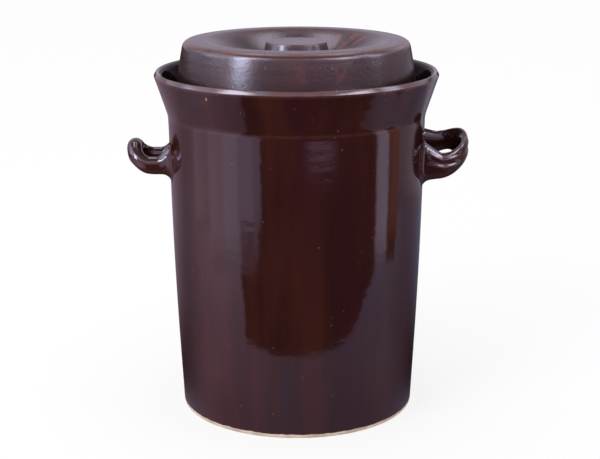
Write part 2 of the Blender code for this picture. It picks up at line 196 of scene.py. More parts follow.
class CrockHandleSizes(bpy.types.PropertyGroup):
    below_seam: length("Below the seam", "From the collar's seam down to the loop", 0.0478)
    run: length("Run", "How far the loop runs out before it curls up", 0.0222)
    droop: angle("Droop", "Slope of the run, downwards", 0)
    curl_radius: length("Curl radius", "Radius of the upward curl", 0.0160)
    curl: angle("Curl", "How far round the tip is curled", 84)
    tilt: length("Tilt", "The far leg is higher than the near one by this", 0.0)
    lean: length("Lean", "The far half of the bend hangs by this", 0.0010)
    uneven: length("Unevenness", "How far the strap's size wanders", 0.0005)
    thick: length("Thickness", "Thickness of the legs", 0.0150)
    tall: length("Height", "Height of the legs", 0.0185)
    tip_thick: length("Tip thickness", "Thickness of the tip", 0.0170)
    tip_tall: length("Tip height", "Height of the tip", 0.0180)
    root_thick: length("Root thickness", "Growth in thickness at the wall", 0.0020)
    root_tall: length("Root height", "Growth in height at the wall", 0.0070)
    root_rise: length("Root rise", "The roots climb the wall by this", 0.0062)
    far_root: share("Far root", "Growth of the far root next to the near one", 0.64)
    far_leg: share("Far leg", "Height of the far leg next to the near one", 1.0)
    groove: length("Groove", "Depth of the groove down the outer face", 0.0004)
    groove_width: share("Groove width", "Share of the half height", 0.35)
    groove_height: FloatProperty(
        name="Groove height", description="Middle of the groove, in half heights", default=0.0
    )
    ridge: length("Ridge", "Height of the ridges beside the groove", 0.0)
    bow: length("Bow", "How far the tip's lower edge turns in", 0.0)
    bow_above: length("Bow above", "How far the tip's upper edge turns in", 0.0)
    dip: length("Dip", "How far the near upper edge stays down before the tip", 0.0)
    tuck: length("Tuck", "How far the lower edge rises before the tip", 0.0022)
    span: length("Span", "Between the middles of the two legs", 0.0500)
    nose: length("Nose", "Length of the rounded end", 0.0240)
    root_depth: length("Root depth", "The path starts this far inside the wall", 0.0040)
    root_sink: length("Root sink", "The legs go on into the wall by this", 0.0040)
    root_length: length("Root length", "The root grows over this length", 0.0150)
    fillet_above: length("Fillet above", "Rounding to the wall, above", 0.0040)
    fillet_below: length("Fillet below", "Rounding to the wall, below", 0.0080)
    trim: length("Trim", "Taken off all round, to stay inside the model's box", 0.0003)
    sides: count("Sides", "Steps round the strap", 60)
    leg_rings: count("Leg rings", "Steps along each leg", 34)
    nose_rings: count("Nose rings", "Steps round the rounded end", 84)


class CrockHandSizes(bpy.types.PropertyGroup):
    ring_depth: length("Ring depth", "Depth of the rings left by turning", 0.00003)
    ring_pitch: length("Ring pitch", "Rise of the rings in each turn", 0.0115)
    wobble: length("Wobble", "How far the wall wanders", 0.00022)
    wobble_size: length("Wobble size", "Size of the wandering", 0.0900)
    stone_grain: length("Stone grain", "Roughness of the stones as real relief", 0.00035)
    stone_voxel: length("Stone voxel", "Fineness of the stones", 0.0014)


class CrockGlazeLook(bpy.types.PropertyGroup):
    deep: colour("Deep", "Thick glaze", (0.0250, 0.0062, 0.0055))
    warm: colour("Warm", "Glaze that has run thinner", (0.0440, 0.0112, 0.0082))
    plum: colour("Plum", "Glaze with a cooler cast", (0.0300, 0.0060, 0.0095))
    thin: colour("Thin", "Glaze that broke over an edge", (0.1500, 0.0600, 0.0440))
    fleck: colour("Fleck", "Tiny specks in the glaze", (0.2300, 0.1150, 0.0850))
    sheen: colour("Sheen", "Tint of what the glaze reflects", (1.0, 0.93, 1.0))
    # painted shade: the colour of the dark matt diffuse that stands in for the shade down in the
    # gutter
    shade: colour("Shade", "Matt film on the glaze in the gutter", (0.0170, 0.0100, 0.0115))
    clay: colour("Clay", "Bare stoneware", (0.9200, 0.7800, 0.6600))
    pit: colour("Pit", "Clay at the bottom of a pinhole", (0.3000, 0.1600, 0.1000))
    stone: colour("Stone", "Bare stoneware of the weights", (0.5200, 0.4200, 0.3200))
    rough: share("Roughness", "Roughness of the glaze", 0.07)
    index: FloatProperty(name="Index", description="Refraction of the glaze", default=1.5)
    peel: length("Peel", "Relief of the glaze's skin", 0.000016)
    peel_size: length("Peel size", "Size of the glaze's skin", 0.0022)
    wave: length("Wave", "Relief of the longer waves in the glaze", 0.000060)
    wave_size: length("Wave size", "Size of the longer waves", 0.0100)


class CrockStageLook(bpy.types.PropertyGroup):
    floor: colour("Floor", "What the floor gives back to the crock", (0.86, 0.86, 0.86))
    daylight: share("Daylight", "Even light from all round", 0.80)
    lens: FloatProperty(name="Lens", description="Focal length in mm", default=85.79)
    distance: length("Distance", "From the crock's axis to the camera", 1.4003)
    height: length("Height", "Height of the camera", 0.5477)
    shift: length("Shift", "How far right of the axis the camera stands", 0.0031)
    pitch: angle("Pitch", "How far the camera looks down", 14.785)
    roll: angle("Roll", "How far the camera leans", -0.143)


class CrockSettings(bpy.types.PropertyGroup):
    pot: PointerProperty(type=CrockPotSizes)
    lid: PointerProperty(type=CrockLidSizes)
    left: PointerProperty(type=CrockHandleSizes)
    right: PointerProperty(type=CrockHandleSizes)
    hand: PointerProperty(type=CrockHandSizes)
    glaze: PointerProperty(type=CrockGlazeLook)
    stage: PointerProperty(type=CrockStageLook)


# how the right handle differs from the left one, whose sizes are the defaults
RIGHT_HANDLE = {
    "below_seam": 0.04405,
    "run": 0.0260,
    "droop": math.radians(-8),
    "curl_radius": 0.0550,
    "curl": math.radians(27.6),
    "tilt": 0.0141,
    "lean": -0.0010,
    "uneven": 0.0008,
    "thick": 0.0120,
    "tall": 0.0290,
    "tip_thick": 0.0110,
    "tip_tall": 0.0285,
    "root_tall": 0.0085,
    "root_rise": 0.0085,
    "far_root": 0.38,
    "far_leg": 0.82,
    "root_length": 0.0240,
    "groove": 0.0014,
    "groove_width": 0.16,
    "groove_height": 0.17,
    "ridge": 0.0010,
    "bow": 0.0045,
    "bow_above": -0.0015,
    "dip": 0.0013,
    "tuck": 0.0021,
    "fillet_below": 0.0070,
}


class Wire:
    """A socket that Python's own signs work on: each adds the node that does the sum."""

    def __init__(self, nodes, node, output):
        self.nodes = nodes
        self.node = node
        self.socket = node.outputs[output]

    def other(self, output):
        """Another output of the same node."""
        return Wire(self.nodes, self.node, output)

    def math(self, operation, *others, swapped=False, clamp=False):
        """One Math node on this socket and the others, or on the others first if swapped."""
        values = (*others, self) if swapped else (self, *others)
        settings = {"operation": operation, "use_clamp": clamp}
        return self.nodes.add("ShaderNodeMath", settings, dict(enumerate(values)))

    def __add__(self, value):
        return self.math("ADD", value)

    __radd__ = __add__

    def __sub__(self, value):
        return self.math("SUBTRACT", value)

    def __rsub__(self, value):
        return self.math("SUBTRACT", value, swapped=True)

    def __mul__(self, value):
        return self.math("MULTIPLY", value)

    __rmul__ = __mul__

    def __truediv__(self, value):
        return self.math("DIVIDE", value)

    def __rtruediv__(self, value):
        return self.math("DIVIDE", value, swapped=True)

    def __mod__(self, value):
        return self.math("MODULO", value)

    def __pow__(self, value):
        return self.math("POWER", value)

    def rise(self, low, high):
        """0 below low, 1 above high, and a smooth rise between them."""
        settings = {"interpolation_type": "SMOOTHSTEP", "clamp": True}
        inputs = {"Value": self, "From Min": low, "From Max": high}
        return self.nodes.add("ShaderNodeMapRange", settings, inputs)

    def clamp(self):
        return self.math("ADD", 0.0, clamp=True)

    def parts(self):
        split = self.nodes.add("ShaderNodeSeparateXYZ", {}, {0: self})
        return split, split.other("Y"), split.other("Z")

    def scaled(self, x, y, z):
        inputs = {0: self, 1: (x, y, z)}
        return self.nodes.add("ShaderNodeVectorMath", {"operation": "MULTIPLY"}, inputs)


class Nodes:
    """Adds nodes to one tree, and hands back the wire of the output that is wanted."""

    def __init__(self, tree):
        self.tree = tree

    def add(self, kind, settings=None, inputs=None, output=0):
        """A node with its settings, then a value or a link for each of its sockets."""
        node = self.tree.nodes.new(kind)
        for key, value in (settings or {}).items():
            setattr(node, key, value)
        for key, value in (inputs or {}).items():
            if isinstance(value, Wire):
                self.tree.links.new(value.socket, node.inputs[key])
            else:
                node.inputs[key].default_value = value
        if not node.outputs:
            return None
        return Wire(self, node, output)

    def mix(self, factor, first, second):
        """A colour between two colours: 0 gives the first."""
        first = first if isinstance(first, Wire) else (*first, 1.0)
        second = second if isinstance(second, Wire) else (*second, 1.0)
        settings = {"data_type": "RGBA", "clamp_factor": True}
        return self.add("ShaderNodeMix", settings, {0: factor, 6: first, 7: second}, 2)

    def blend(self, factor, first, second):
        """A number between two numbers: 0 gives the first."""
        settings = {"data_type": "FLOAT", "clamp_factor": True}
        return self.add("ShaderNodeMix", settings, {0: factor, 2: first, 3: second})

    def grain(self, place, size, detail=2.0, roughness=0.5):
        """Noise from 0 to 1 whose lumps have about the given size in metres."""
        inputs = {"Vector": place, "Scale": 0.5 / size, "Detail": detail, "Roughness": roughness}
        return self.add("ShaderNodeTexNoise", {"noise_dimensions": "3D"}, inputs)

    def specks(self, place, scale, low, high):
        """1 on small round specks, one in each cell of a pattern with scale cells to a metre."""
        inputs = {"Vector": place, "Scale": scale}
        return 1 - self.add("ShaderNodeTexVoronoi", {"feature": "F1"}, inputs).rise(low, high)

    def place(self):
        """Where the surface is, in the piece's own coordinates."""
        return self.add("ShaderNodeTexCoord", {}, {}, "Object")

    def attribute(self, name):
        """A number that the mesh carries, in a material."""
        return self.add("ShaderNodeAttribute", {"attribute_name": name}, {}, "Fac")

    def stored(self, name):
        """A number that the mesh carries, in a geometry tree."""
        return self.add("GeometryNodeInputNamedAttribute", {"data_type": "FLOAT"}, {"Name": name})

    def bump(self, relief):
        return self.add("ShaderNodeBump", {}, {"Height": relief, "Distance": 1.0, "Strength": 1.0})

    def glow(self, strength, tone=(1.0, 1.0, 1.0)):
        tone = tone if isinstance(tone, Wire) else (*tone, 1.0)
        return self.add("ShaderNodeEmission", {}, {"Color": tone, "Strength": strength})

    def finish(self, shader):
        self.add("ShaderNodeOutputMaterial", {}, {"Surface": shader})


def new_material(name):
    """An empty material and the builder of its nodes."""
    material = bpy.data.materials.new(name)
    material.use_nodes = True
    material.node_tree.nodes.clear()
    return material, Nodes(material.node_tree)


def around_axis(x, y):
    """How far round the crock's axis a place is, in radians from the viewer's side."""
    return x.math("ARCTAN2", y * -1)


def off_axis(x, y):
    """How far a place is from the crock's axis."""
    return (x * x + y * y) ** 0.5


def streak(place, facing, top, bottom, slant, width):
    """1 along a line that runs down the surface: facing is in degrees from the viewer's side."""
    x, y, z = place.parts()
    down = (top - z) / (top - bottom)
    across = around_axis(x, y) - (math.radians(facing) + down * math.radians(slant))
    beside = across.math("ABSOLUTE") * off_axis(x, y)
    inside = down.rise(-0.05, 0.15) * (1 - down.rise(0.75, 1.05))
    return (1 - beside.rise(width * 0.3, width)) * inside


def glaze_material(name, look, rough=0.0, peel=1.0, fine=1.0, marks=(), clay=None):
    """Dark iron glaze over stoneware, with bare clay where the "bare" attribute says so.

    Each of the marks is the colour of a glaze run and the numbers that streak() takes. The
    "thin" attribute says how far the glaze broke over an edge, and below 0 how much painted
    shade darkens it, mixed in as a dark matt diffuse.
    """
    pale_clay = look.clay if clay is None else clay
    dark_clay = (0.55, 0.40, 0.30) if clay is None else clay
    material, nodes = new_material(name)
    place = nodes.place()
    cloud = nodes.grain(place, 0.045, 3.0)
    runs = nodes.grain(place.scaled(1.0, 1.0, 0.09), 0.0045, 2.0)
    bands = nodes.grain(place.scaled(1.0, 1.0, 0.05), 0.016, 1.0)
    warmth = (bands * 1.6 + cloud * 0.8 + runs * 0.5 - 1.15).rise(0.0, 0.7)
    body = nodes.mix(warmth, look.deep, look.warm)
    coolness = (nodes.grain(place.scaled(1.0, 1.0, 0.07), 0.021, 1.0) * 1.5 - 0.55).rise(0.2, 0.6)
    body = nodes.mix(coolness * 0.7, body, look.plum)
    patchy = nodes.grain(place, 0.006, 3.0)
    ragged = (patchy * 2.0).rise(0.5, 1.1)
    for tone, *line in marks:
        body = nodes.mix(streak(place, *line) * ragged, body, tone)
    thin_or_painted_shade = nodes.attribute("thin")
    thin = thin_or_painted_shade * (patchy * 1.3).rise(0.25, 0.60)
    body = nodes.mix(thin, body, look.thin)
    chance = nodes.grain(place, 0.011, 1.0).rise(0.50, 0.62)
    fleck = nodes.specks(place, 90.0, 0.035, 0.075) * chance
    body = nodes.mix(fleck * 0.8, body, look.fleck)

    edge = nodes.grain(place.scaled(1.0, 1.0, 0.2), 0.0050, 2.0)
    bare_depth = nodes.attribute("bare") + (edge - 0.5) * 0.0022 - CLAY_MARGIN
    bare = bare_depth.rise(0.0, 0.0003)
    lip = bare_depth.rise(-0.0010, 0.0) * (1 - bare)
    grit = nodes.grain(place, 0.0009, 3.0, 0.7)
    stain = nodes.grain(place, 0.008, 2.0)
    biscuit = nodes.mix((grit * 0.5 + stain * 0.8).rise(0.3, 0.9), pale_clay, dark_clay)
    body = nodes.mix(lip * 0.6, body, look.thin)
    body = nodes.mix(bare, body, biscuit)

    gloss = nodes.grain(place, 0.018, 2.0)
    roughness = look.rough + rough + gloss * 0.05 + thin * 0.06
    roughness = nodes.blend(bare, roughness, 0.85)

    skin = nodes.grain(place, look.peel_size * fine, 2.0, 0.55) * (look.peel * 2 * peel)
    waves = nodes.grain(place.scaled(1.0, 1.0, 2.2), look.wave_size, 2.0) * (look.wave * 2)
    relief = nodes.blend(bare, skin + waves, grit * 0.00025)
    shader = nodes.add(
        "ShaderNodeBsdfPrincipled",
        {},
        {
            "Base Color": body,
            "Roughness": roughness,
            "Normal": nodes.bump(relief),
            "IOR": look.index,
            "Specular Tint": (*look.sheen, 1.0),
        },
    )
    # painted shade: where "thin" is below 0, a dark matt diffuse is mixed over the glaze to darken
    # the gutter's recess
    shade = (thin_or_painted_shade * -1).clamp()
    matt = nodes.add("ShaderNodeBsdfDiffuse", {}, {"Color": (*look.shade, 1.0)})
    nodes.finish(nodes.add("ShaderNodeMixShader", {}, {0: shade, 1: shader, 2: matt}))
    return material


def stone_material(name, look):
    """Matt unglazed stoneware with grog and a few dark specks of iron."""
    material, nodes = new_material(name)
    place = nodes.place()
    cloud = nodes.grain(place, 0.020, 3.0)
    grog = nodes.grain(place, 0.0012, 3.0, 0.7)
    body = nodes.mix(cloud.rise(0.35, 0.7) * 0.7, look.stone, (0.40, 0.29, 0.20))
    body = nodes.mix(grog.rise(0.5, 0.7) * 0.5, body, (0.64, 0.55, 0.44))
    iron = nodes.specks(place, 160.0, 0.08, 0.14) * nodes.grain(place, 0.007, 1.0).rise(0.5, 0.6)
    body = nodes.mix(iron, body, (0.07, 0.035, 0.02))
    rough = 0.82 + grog * 0.12
    inputs = {"Base Color": body, "Roughness": rough, "Normal": nodes.bump(grog * 0.0003)}
    nodes.finish(nodes.add("ShaderNodeBsdfPrincipled", {}, inputs))
    return material


def ease(part):
    part = max(0.0, min(1.0, part))
    return part * part * (3 - 2 * part)


def fit(value, low, high):
    """0 at low, 1 at high, and eased between them."""
    return ease((value - low) / (high - low))


def bump_at(value, middle, width):
    """1 at the middle, falling away smoothly on both sides."""
    return math.exp(-(((value - middle) / width) ** 2))


def on_circle(centre, radius, turned):
    return centre + radius * Vector((math.cos(turned), math.sin(turned)))


def arc(centre, radius, start, end):
    steps = max(2, math.ceil(abs(end - start) / ARC_STEP))
    angles = [start + (end - start) * step / steps for step in range(steps + 1)]
    return [on_circle(centre, radius, turned) for turned in angles]


def rounded(corners):
    """An open outline from (radius, height, rounding) corners; the two ends stay sharp."""
    points = []
    last = len(corners) - 1
    for index, (x, z, rounding) in enumerate(corners):
        here = Vector((x, z))
        if rounding == 0 or index in (0, last):
            points.append(here)
            continue
        before = (Vector(corners[index - 1][:2]) - here).normalized()
        after = (Vector(corners[index + 1][:2]) - here).normalized()
        half = before.angle(after) / 2
        centre = here + (before + after).normalized() * rounding / math.sin(half)
        touch_in = here + before * rounding / math.tan(half)
        touch_out = here + after * rounding / math.tan(half)
        start = math.atan2(*(touch_in - centre).yx)
        sweep = math.atan2(*(touch_out - centre).yx) - start
        sweep = (sweep + math.pi) % math.tau - math.pi
        points += arc(centre, rounding, start, start + sweep)
    return points


def filled(points, step):
    """The same outline with points added where a side is longer than step."""
    made = [points[0]]
    for low, high in zip(points, points[1:]):
        parts = max(1, math.ceil((high - low).length / step - 0.01))
        made += [low.lerp(high, part / parts) for part in range(1, parts + 1)]
    return made


def curvature(points, closed):
    """Curvature in 1/mm at each point, positive on edges that stand out, evened out a little."""
    size = len(points)
    raw = []
    for index, here in enumerate(points):
        before = points[(index - 1) % size] if closed or index else here
        after = points[(index + 1) % size] if closed or index < size - 1 else here
        first, second = here - before, after - here
        if first.length < 1e-7 or second.length < 1e-7:
            raw.append(0.0)
            continue
        bend = math.atan2(first.cross(second), first.dot(second))
        raw.append(bend / (first.length + second.length) * 2 / 1000)
    reach = 8
    blurred = []
    for index, here in enumerate(points):
        total = weight = 0.0
        for step in range(-reach, reach + 1):
            there = (index + step) % size if closed else min(size - 1, max(0, index + step))
            near = math.exp(-(((points[there] - here).length / CURVE_BLUR) ** 2))
            total += raw[there] * near
            weight += near
        blurred.append(total / weight)
    return blurred


def new_tree(name, sockets):
    """A geometry tree with named inputs and one output, and the wires of its inputs."""
    tree = bpy.data.node_groups.new(name, "GeometryNodeTree")
    for title, kind in sockets.items():
        tree.interface.new_socket(title, in_out="INPUT", socket_type=f"NodeSocket{kind}")
    tree.interface.new_socket("Geometry", in_out="OUTPUT", socket_type="NodeSocketGeometry")
    nodes = Nodes(tree)
    source = nodes.add("NodeGroupInput")
    return nodes, {title: source.other(title) for title in sockets}


def finish_tree(nodes, surface, material):
    """Ends a geometry tree with plain geometry in its material."""
    surface = nodes.add("GeometryNodeRealizeInstances", {}, {"Geometry": surface})
    inputs = {"Geometry": surface, "Material": material}
    nodes.add("NodeGroupOutput", {}, {"Geometry": nodes.add("GeometryNodeSetMaterial", {}, inputs)})
    return nodes.tree


def potters_wheel():
    """Turns an outline about the axis, with the rings and the wandering of a hand-made wall."""
    sockets = {
        "Geometry": "Geometry",
        "Segments": "Int",
        "Ring Depth": "Float",
        "Ring Pitch": "Float",
        "Wobble": "Float",
        "Wobble Size": "Float",
        "Seed": "Float",
        "Material": "Material",
    }
    nodes, given = new_tree("potters_wheel", sockets)
    outline = given["Geometry"]
    inputs = {"Geometry": outline}
    rows = nodes.add("GeometryNodeAttributeDomainSize", {"component": "MESH"}, inputs)
    inputs = {"Vertices X": given["Segments"] + 1, "Vertices Y": rows}
    grid = nodes.add("GeometryNodeMeshGrid", {}, inputs)
    index = nodes.add("GeometryNodeInputIndex")
    row = index % rows
    column = (index / rows).math("FLOOR")
    place = nodes.add("GeometryNodeInputPosition")

    def of_row(kind, value):
        """What the outline has at this row's point."""
        settings = {"data_type": kind, "domain": "POINT"}
        inputs = {"Geometry": outline, "Value": value, "Index": row}
        return nodes.add("GeometryNodeSampleIndex", settings, inputs)

    radius, _, height = of_row("FLOAT_VECTOR", place).parts()
    around = column * math.tau / given["Segments"]
    inputs = {"X": radius * around.math("COSINE"), "Y": radius * around.math("SINE"), "Z": height}
    turned = nodes.add("ShaderNodeCombineXYZ", {}, inputs)
    surface = nodes.add("GeometryNodeSetPosition", {}, {"Geometry": grid, "Position": turned})
    for name in CARRIED:
        settings = {"data_type": "FLOAT", "domain": "POINT"}
        inputs = {"Geometry": surface, "Name": name, "Value": of_row("FLOAT", nodes.stored(name))}
        surface = nodes.add("GeometryNodeStoreNamedAttribute", settings, inputs)
    inputs = {"Geometry": surface, "Distance": 1e-6}
    surface = nodes.add("GeometryNodeMergeByDistance", {}, inputs)
    x, y, z = place.parts()
    spiral = z / given["Ring Pitch"] * math.tau + y.math("ARCTAN2", x)
    rings = (spiral.math("SINE") + 1) * 0.5
    scale = 0.5 / given["Wobble Size"]
    inputs = {"Vector": place, "W": given["Seed"], "Scale": scale, "Detail": 1.0}
    wander = nodes.add("ShaderNodeTexNoise", {"noise_dimensions": "4D"}, inputs)
    inwards = rings * given["Ring Depth"] + wander * given["Wobble"]
    inwards = inwards * nodes.stored("hand") * -1
    inputs = {0: nodes.add("GeometryNodeInputNormal"), "Scale": inwards}
    shift = nodes.add("ShaderNodeVectorMath", {"operation": "SCALE"}, inputs)
    surface = nodes.add("GeometryNodeSetPosition", {}, {"Geometry": surface, "Offset": shift})
    surface = nodes.add("GeometryNodeSetShadeSmooth", {}, {"Geometry": surface})
    return finish_tree(nodes, surface, given["Material"])


def pin_holes():
    """Scatters small marks over a glazed surface, most of them where its pits value is high."""
    sockets = {
        "Geometry": "Geometry",
        "Mark": "Object",
        "Density": "Float",
        "Smallest": "Float",
        "Largest": "Float",
        "Seed": "Int",
        "Material": "Material",
    }
    nodes, given = new_tree("pin_holes", sockets)
    density = nodes.stored("pits") * given["Density"]
    inputs = {"Mesh": given["Geometry"], "Density": density, "Seed": given["Seed"]}
    settings = {"distribute_method": "RANDOM"}
    points = nodes.add("GeometryNodeDistributePointsOnFaces", settings, inputs)
    inputs = {2: given["Smallest"], 3: given["Largest"], "Seed": given["Seed"]}
    size = nodes.add("FunctionNodeRandomValue", {"data_type": "FLOAT"}, inputs, 1)
    inputs = {
        "Points": points,
        "Instance": nodes.add("GeometryNodeObjectInfo", {}, {"Object": given["Mark"]}, "Geometry"),
        "Rotation": points.other("Rotation"),
        "Scale": size,
    }
    marks = nodes.add("GeometryNodeInstanceOnPoints", {}, inputs)
    return finish_tree(nodes, marks, given["Material"])


def add_tree(made, build, values):
    """Puts a geometry tree on an object and sets its inputs by their identifiers."""
    tree = bpy.data.node_groups.get(build.__name__) or build()
    modifier = made.modifiers.new(tree.name, "NODES")
    modifier.node_group = tree
    for item in tree.interface.items_tree:
        if item.item_type == "SOCKET" and item.in_out == "INPUT" and item.name in values:
            modifier[item.identifier] = values[item.name]


def settle(made):
    """Replaces an object's mesh by what its modifiers make of it, and drops them."""
    bpy.context.view_layer.update()
    depsgraph = bpy.context.evaluated_depsgraph_get()
    mesh = bpy.data.meshes.new_from_object(made.evaluated_get(depsgraph))
    old = made.data
    made.modifiers.clear()
    made.data = mesh
    mesh.name = made.name
    bpy.data.meshes.remove(old)


def new_object(name, mesh):
    made = bpy.data.objects.new(name, mesh)
    bpy.context.scene.collection.objects.link(made)
    return made


def own_mesh(bm, name):
    """A bmesh as a mesh of the given name, after which the bmesh is gone."""
    mesh = bpy.data.meshes.new(name)
    bm.to_mesh(mesh)
    bm.free()
    return mesh


def turn(name, points, material, segments, hand, values, seed, closed=False):
    """Turns an outline that runs up the outside.

    values(point, curvature) gives how thin the glaze is there, or below 0 how much painted
    shade it carries, how bare the clay is, how much the hand shows, and how many pinholes there
    are.
    """
    curve = curvature(points, closed)
    if closed:
        points = points + points[:1]
        curve = curve + curve[:1]
    mesh = bpy.data.meshes.new(name)
    edges = [(index, index + 1) for index in range(len(points) - 1)]
    mesh.from_pydata([(x, 0.0, z) for x, z in points], edges, [])
    columns = zip(*(values(point, bend) for point, bend in zip(points, curve)))
    for key, column in zip(CARRIED, columns):
        mesh.attributes.new(key, "FLOAT", "POINT").data.foreach_set("value", column)
    made = new_object(name, mesh)
    inputs = {
        "Segments": segments,
        "Ring Depth": hand.ring_depth,
        "Ring Pitch": hand.ring_pitch,
        "Wobble": hand.wobble,
        "Wobble Size": hand.wobble_size,
        "Seed": seed,
        "Material": material,
    }
    add_tree(made, potters_wheel, inputs)
    settle(made)
    made.data.set_sharp_from_angle(angle=SHARP)
    return made


def join(piece, body, node):
    """Makes a finished piece stand for its CAD node: sets it on its body and hides the node."""
    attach(piece, body)
    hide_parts(node)


def wall_radius(pot, height):
    """Outside radius of the pot: a straight taper with a slight swelling."""
    part = height / SEAM_HEIGHT
    taper = pot.foot_radius + (SEAM_RADIUS - pot.foot_radius) * part
    return taper + pot.belly * math.sin(math.pi * min(part, 1.0))


def lip_centre(pot):
    radius = pot.collar_thickness / 2
    return Vector((RIM_RADIUS - radius, RIM_HEIGHT - radius - pot.lip_drop))


def collar_lean(pot):
    """Angle of the collar's outer face: it leaves the seam and just touches the lip."""
    seam = Vector((SEAM_RADIUS, SEAM_HEIGHT)) - lip_centre(pot)
    return math.atan2(seam.y, seam.x) + math.acos(pot.collar_thickness / 2 / seam.length)


def gutter_radius(pot, height):
    """Radius of the collar's inner face, which is the gutter's outer wall."""
    lean = collar_lean(pot)
    centre = lip_centre(pot)
    rise = (height - centre.y) * math.sin(lean)
    return centre.x - (pot.collar_thickness / 2 + rise) / math.cos(lean)


def seam_fill(pot, height):
    """The glaze fills the corner under the collar: how far it stands out at this height."""
    away = abs(height - SEAM_HEIGHT) / pot.seam_reach
    return pot.seam_fill * max(0.0, 1 - away) ** 2


def pot_outline(pot):
    """From the middle of the underside up the wall, over the neck and down to the floor."""
    level = RIM_HEIGHT - pot.gutter_depth
    shoulder = level - pot.gutter_floor
    joint = SEAM_RADIUS - pot.collar_seat
    mouth = pot.neck_radius - pot.neck_thickness
    steps, seam_steps = WALL_STEPS, 8
    outside = [(SEAM_HEIGHT - pot.seam_reach) * step / steps for step in range(steps)]
    outside += [
        SEAM_HEIGHT - pot.seam_reach * step / seam_steps for step in range(seam_steps, -1, -1)
    ]
    inside = [pot.floor + (shoulder - pot.floor) * step / steps for step in range(steps + 1)]
    corners = [(0.0, 0.0, 0)]
    for z in outside:
        radius = wall_radius(pot, z) + seam_fill(pot, z)
        corners.append((radius, z, pot.foot_round if z == 0 else 0))
    corners += [
        (joint, SEAM_HEIGHT, 0),
        (joint, level, 0),
        (pot.neck_radius, level, pot.gutter_round),
        (pot.neck_radius, NECK_TOP, pot.neck_round),
        (mouth, NECK_TOP, pot.neck_round),
        (mouth, shoulder, 0),
        (wall_radius(pot, shoulder) - pot.wall, shoulder, pot.shoulder_round),
    ]
    for z in reversed(inside):
        if pot.floor + 2 * pot.inside_round < z < shoulder - 1.2 * pot.shoulder_round:
            corners.append((wall_radius(pot, z) - pot.wall, z, 0))
    corners.append((wall_radius(pot, pot.floor) - pot.wall, pot.floor, pot.inside_round))
    corners.append((0.0, pot.floor, 0))
    return filled(rounded(corners), COARSE)


def collar_outline(pot):
    """From the seam up the outside, round the bevelled lip and down into the gutter."""
    lean = collar_lean(pot)
    centre = lip_centre(pot)
    lip = pot.collar_thickness / 2
    level = RIM_HEIGHT - pot.gutter_depth
    joint = SEAM_RADIUS - pot.collar_seat
    seam = Vector((SEAM_RADIUS, SEAM_HEIGHT))
    start = on_circle(centre, lip, lean)
    outline = [Vector((joint, SEAM_HEIGHT))]
    for step in range(WALL_STEPS + 1):
        point = seam.lerp(start, step / WALL_STEPS)
        outline.append(point + Vector((seam_fill(pot, point.y), 0.0)))
    outline += arc(centre, lip, lean, pot.bevel_low - BEVEL_LEAD)[1:]
    corners = [(*outline[-1], 0)]
    for facing, rounding in (
        (pot.bevel_low, pot.bevel_round),
        (pot.bevel_high, pot.crest_round),
        (math.pi + lean, pot.lip_round),
    ):
        corners.append((*on_circle(centre, lip, facing), rounding))
    corners += [(gutter_radius(pot, level), level, pot.gutter_round), (joint, level, 0)]
    return filled(outline + rounded(corners)[1:], FINE)


def make_body(settings, glaze):
    pot = settings.pot

    def body_values(point, bend):
        outside = point.x > wall_radius(pot, point.y) - pot.wall / 2 and point.y < SEAM_HEIGHT
        below = point.y < pot.floor / 2
        bare = pot.clay_line + CLAY_MARGIN - point.y if outside or below else NO_CLAY
        even = min(1.0, point.y / 0.02) * fit(abs(SEAM_HEIGHT - point.y), 0.0, 0.020)
        if point.y > SEAM_HEIGHT:
            gutter = point.x > pot.neck_radius - pot.neck_round
            # painted shade: the gutter's floor and the neck's outer face are darkened through a
            # negative thin
            thin = 0.6 * fit(bend, 0.10, 0.25) - GUTTER_SHADE * gutter
        else:
            thin = SEAM_THIN * bump_at(point.y, SEAM_HEIGHT, 0.0015) if outside else 0.0
        return thin, bare, even, 0.10 if outside and point.y > 0.02 else 0.0

    outline = pot_outline(pot)
    body = turn("crock_wall", outline, glaze, pot.segments, settings.hand, body_values, seed=3.0)
    join(body, "pot", "crock_body")
    return body


def make_collar(settings, glaze):
    pot = settings.pot
    centre = lip_centre(pot)
    lip = pot.collar_thickness / 2

    def collar_values(point, bend):
        spoke = point - centre
        if spoke.length < lip * 1.05:
            # degrees round the lip: the glaze breaks on its crest, and further in, down towards the
            # gutter, painted shade darkens it
            facing = math.degrees(math.atan2(spoke.y, spoke.x))
            edges = bump_at(facing, 64, 6) + 0.3 * bump_at(facing, -10, 9)
            thin = 0.20 + 0.8 * min(1.0, edges) - 0.9 * fit(facing, 80, 130)
            return thin, NO_CLAY, 0.6, 1.0
        outside = point.x > gutter_radius(pot, point.y) + lip
        thin = 0.30 * bump_at(point.y, centre.y, 0.0020)
        thin += SEAM_THIN * bump_at(point.y, SEAM_HEIGHT, 0.0010)
        even = 0.6 * fit(point.y - SEAM_HEIGHT, 0.0, 0.015)
        # painted shade down the collar's inner face, which is the gutter's outer wall
        shade = GUTTER_SHADE * fit(centre.y - point.y, -0.004, 0.001)
        return thin if outside else -shade, NO_CLAY, even, 0.05

    outline = collar_outline(pot)
    sizes = (pot.segments, settings.hand)
    collar = turn("gutter_rim", outline, glaze, *sizes, collar_values, seed=11.0, closed=True)
    join(collar, "pot", "gutter_collar")
    return collar


def hook(shape, start, along):
    """Place on the handle's side view: it runs out from the wall, droops, then curls up."""
    out = Vector((math.cos(shape.droop), -math.sin(shape.droop)))
    if along < shape.run:
        return Vector((start, 0.0)) + out * along
    turn_angle = (along - shape.run) / shape.curl_radius - shape.droop
    bend = Vector((start, 0.0)) + out * shape.run
    up = Vector((math.sin(shape.droop), math.cos(shape.droop)))
    centre = bend + shape.curl_radius * up
    down = Vector((math.sin(turn_angle), -math.cos(turn_angle)))
    return centre + shape.curl_radius * down


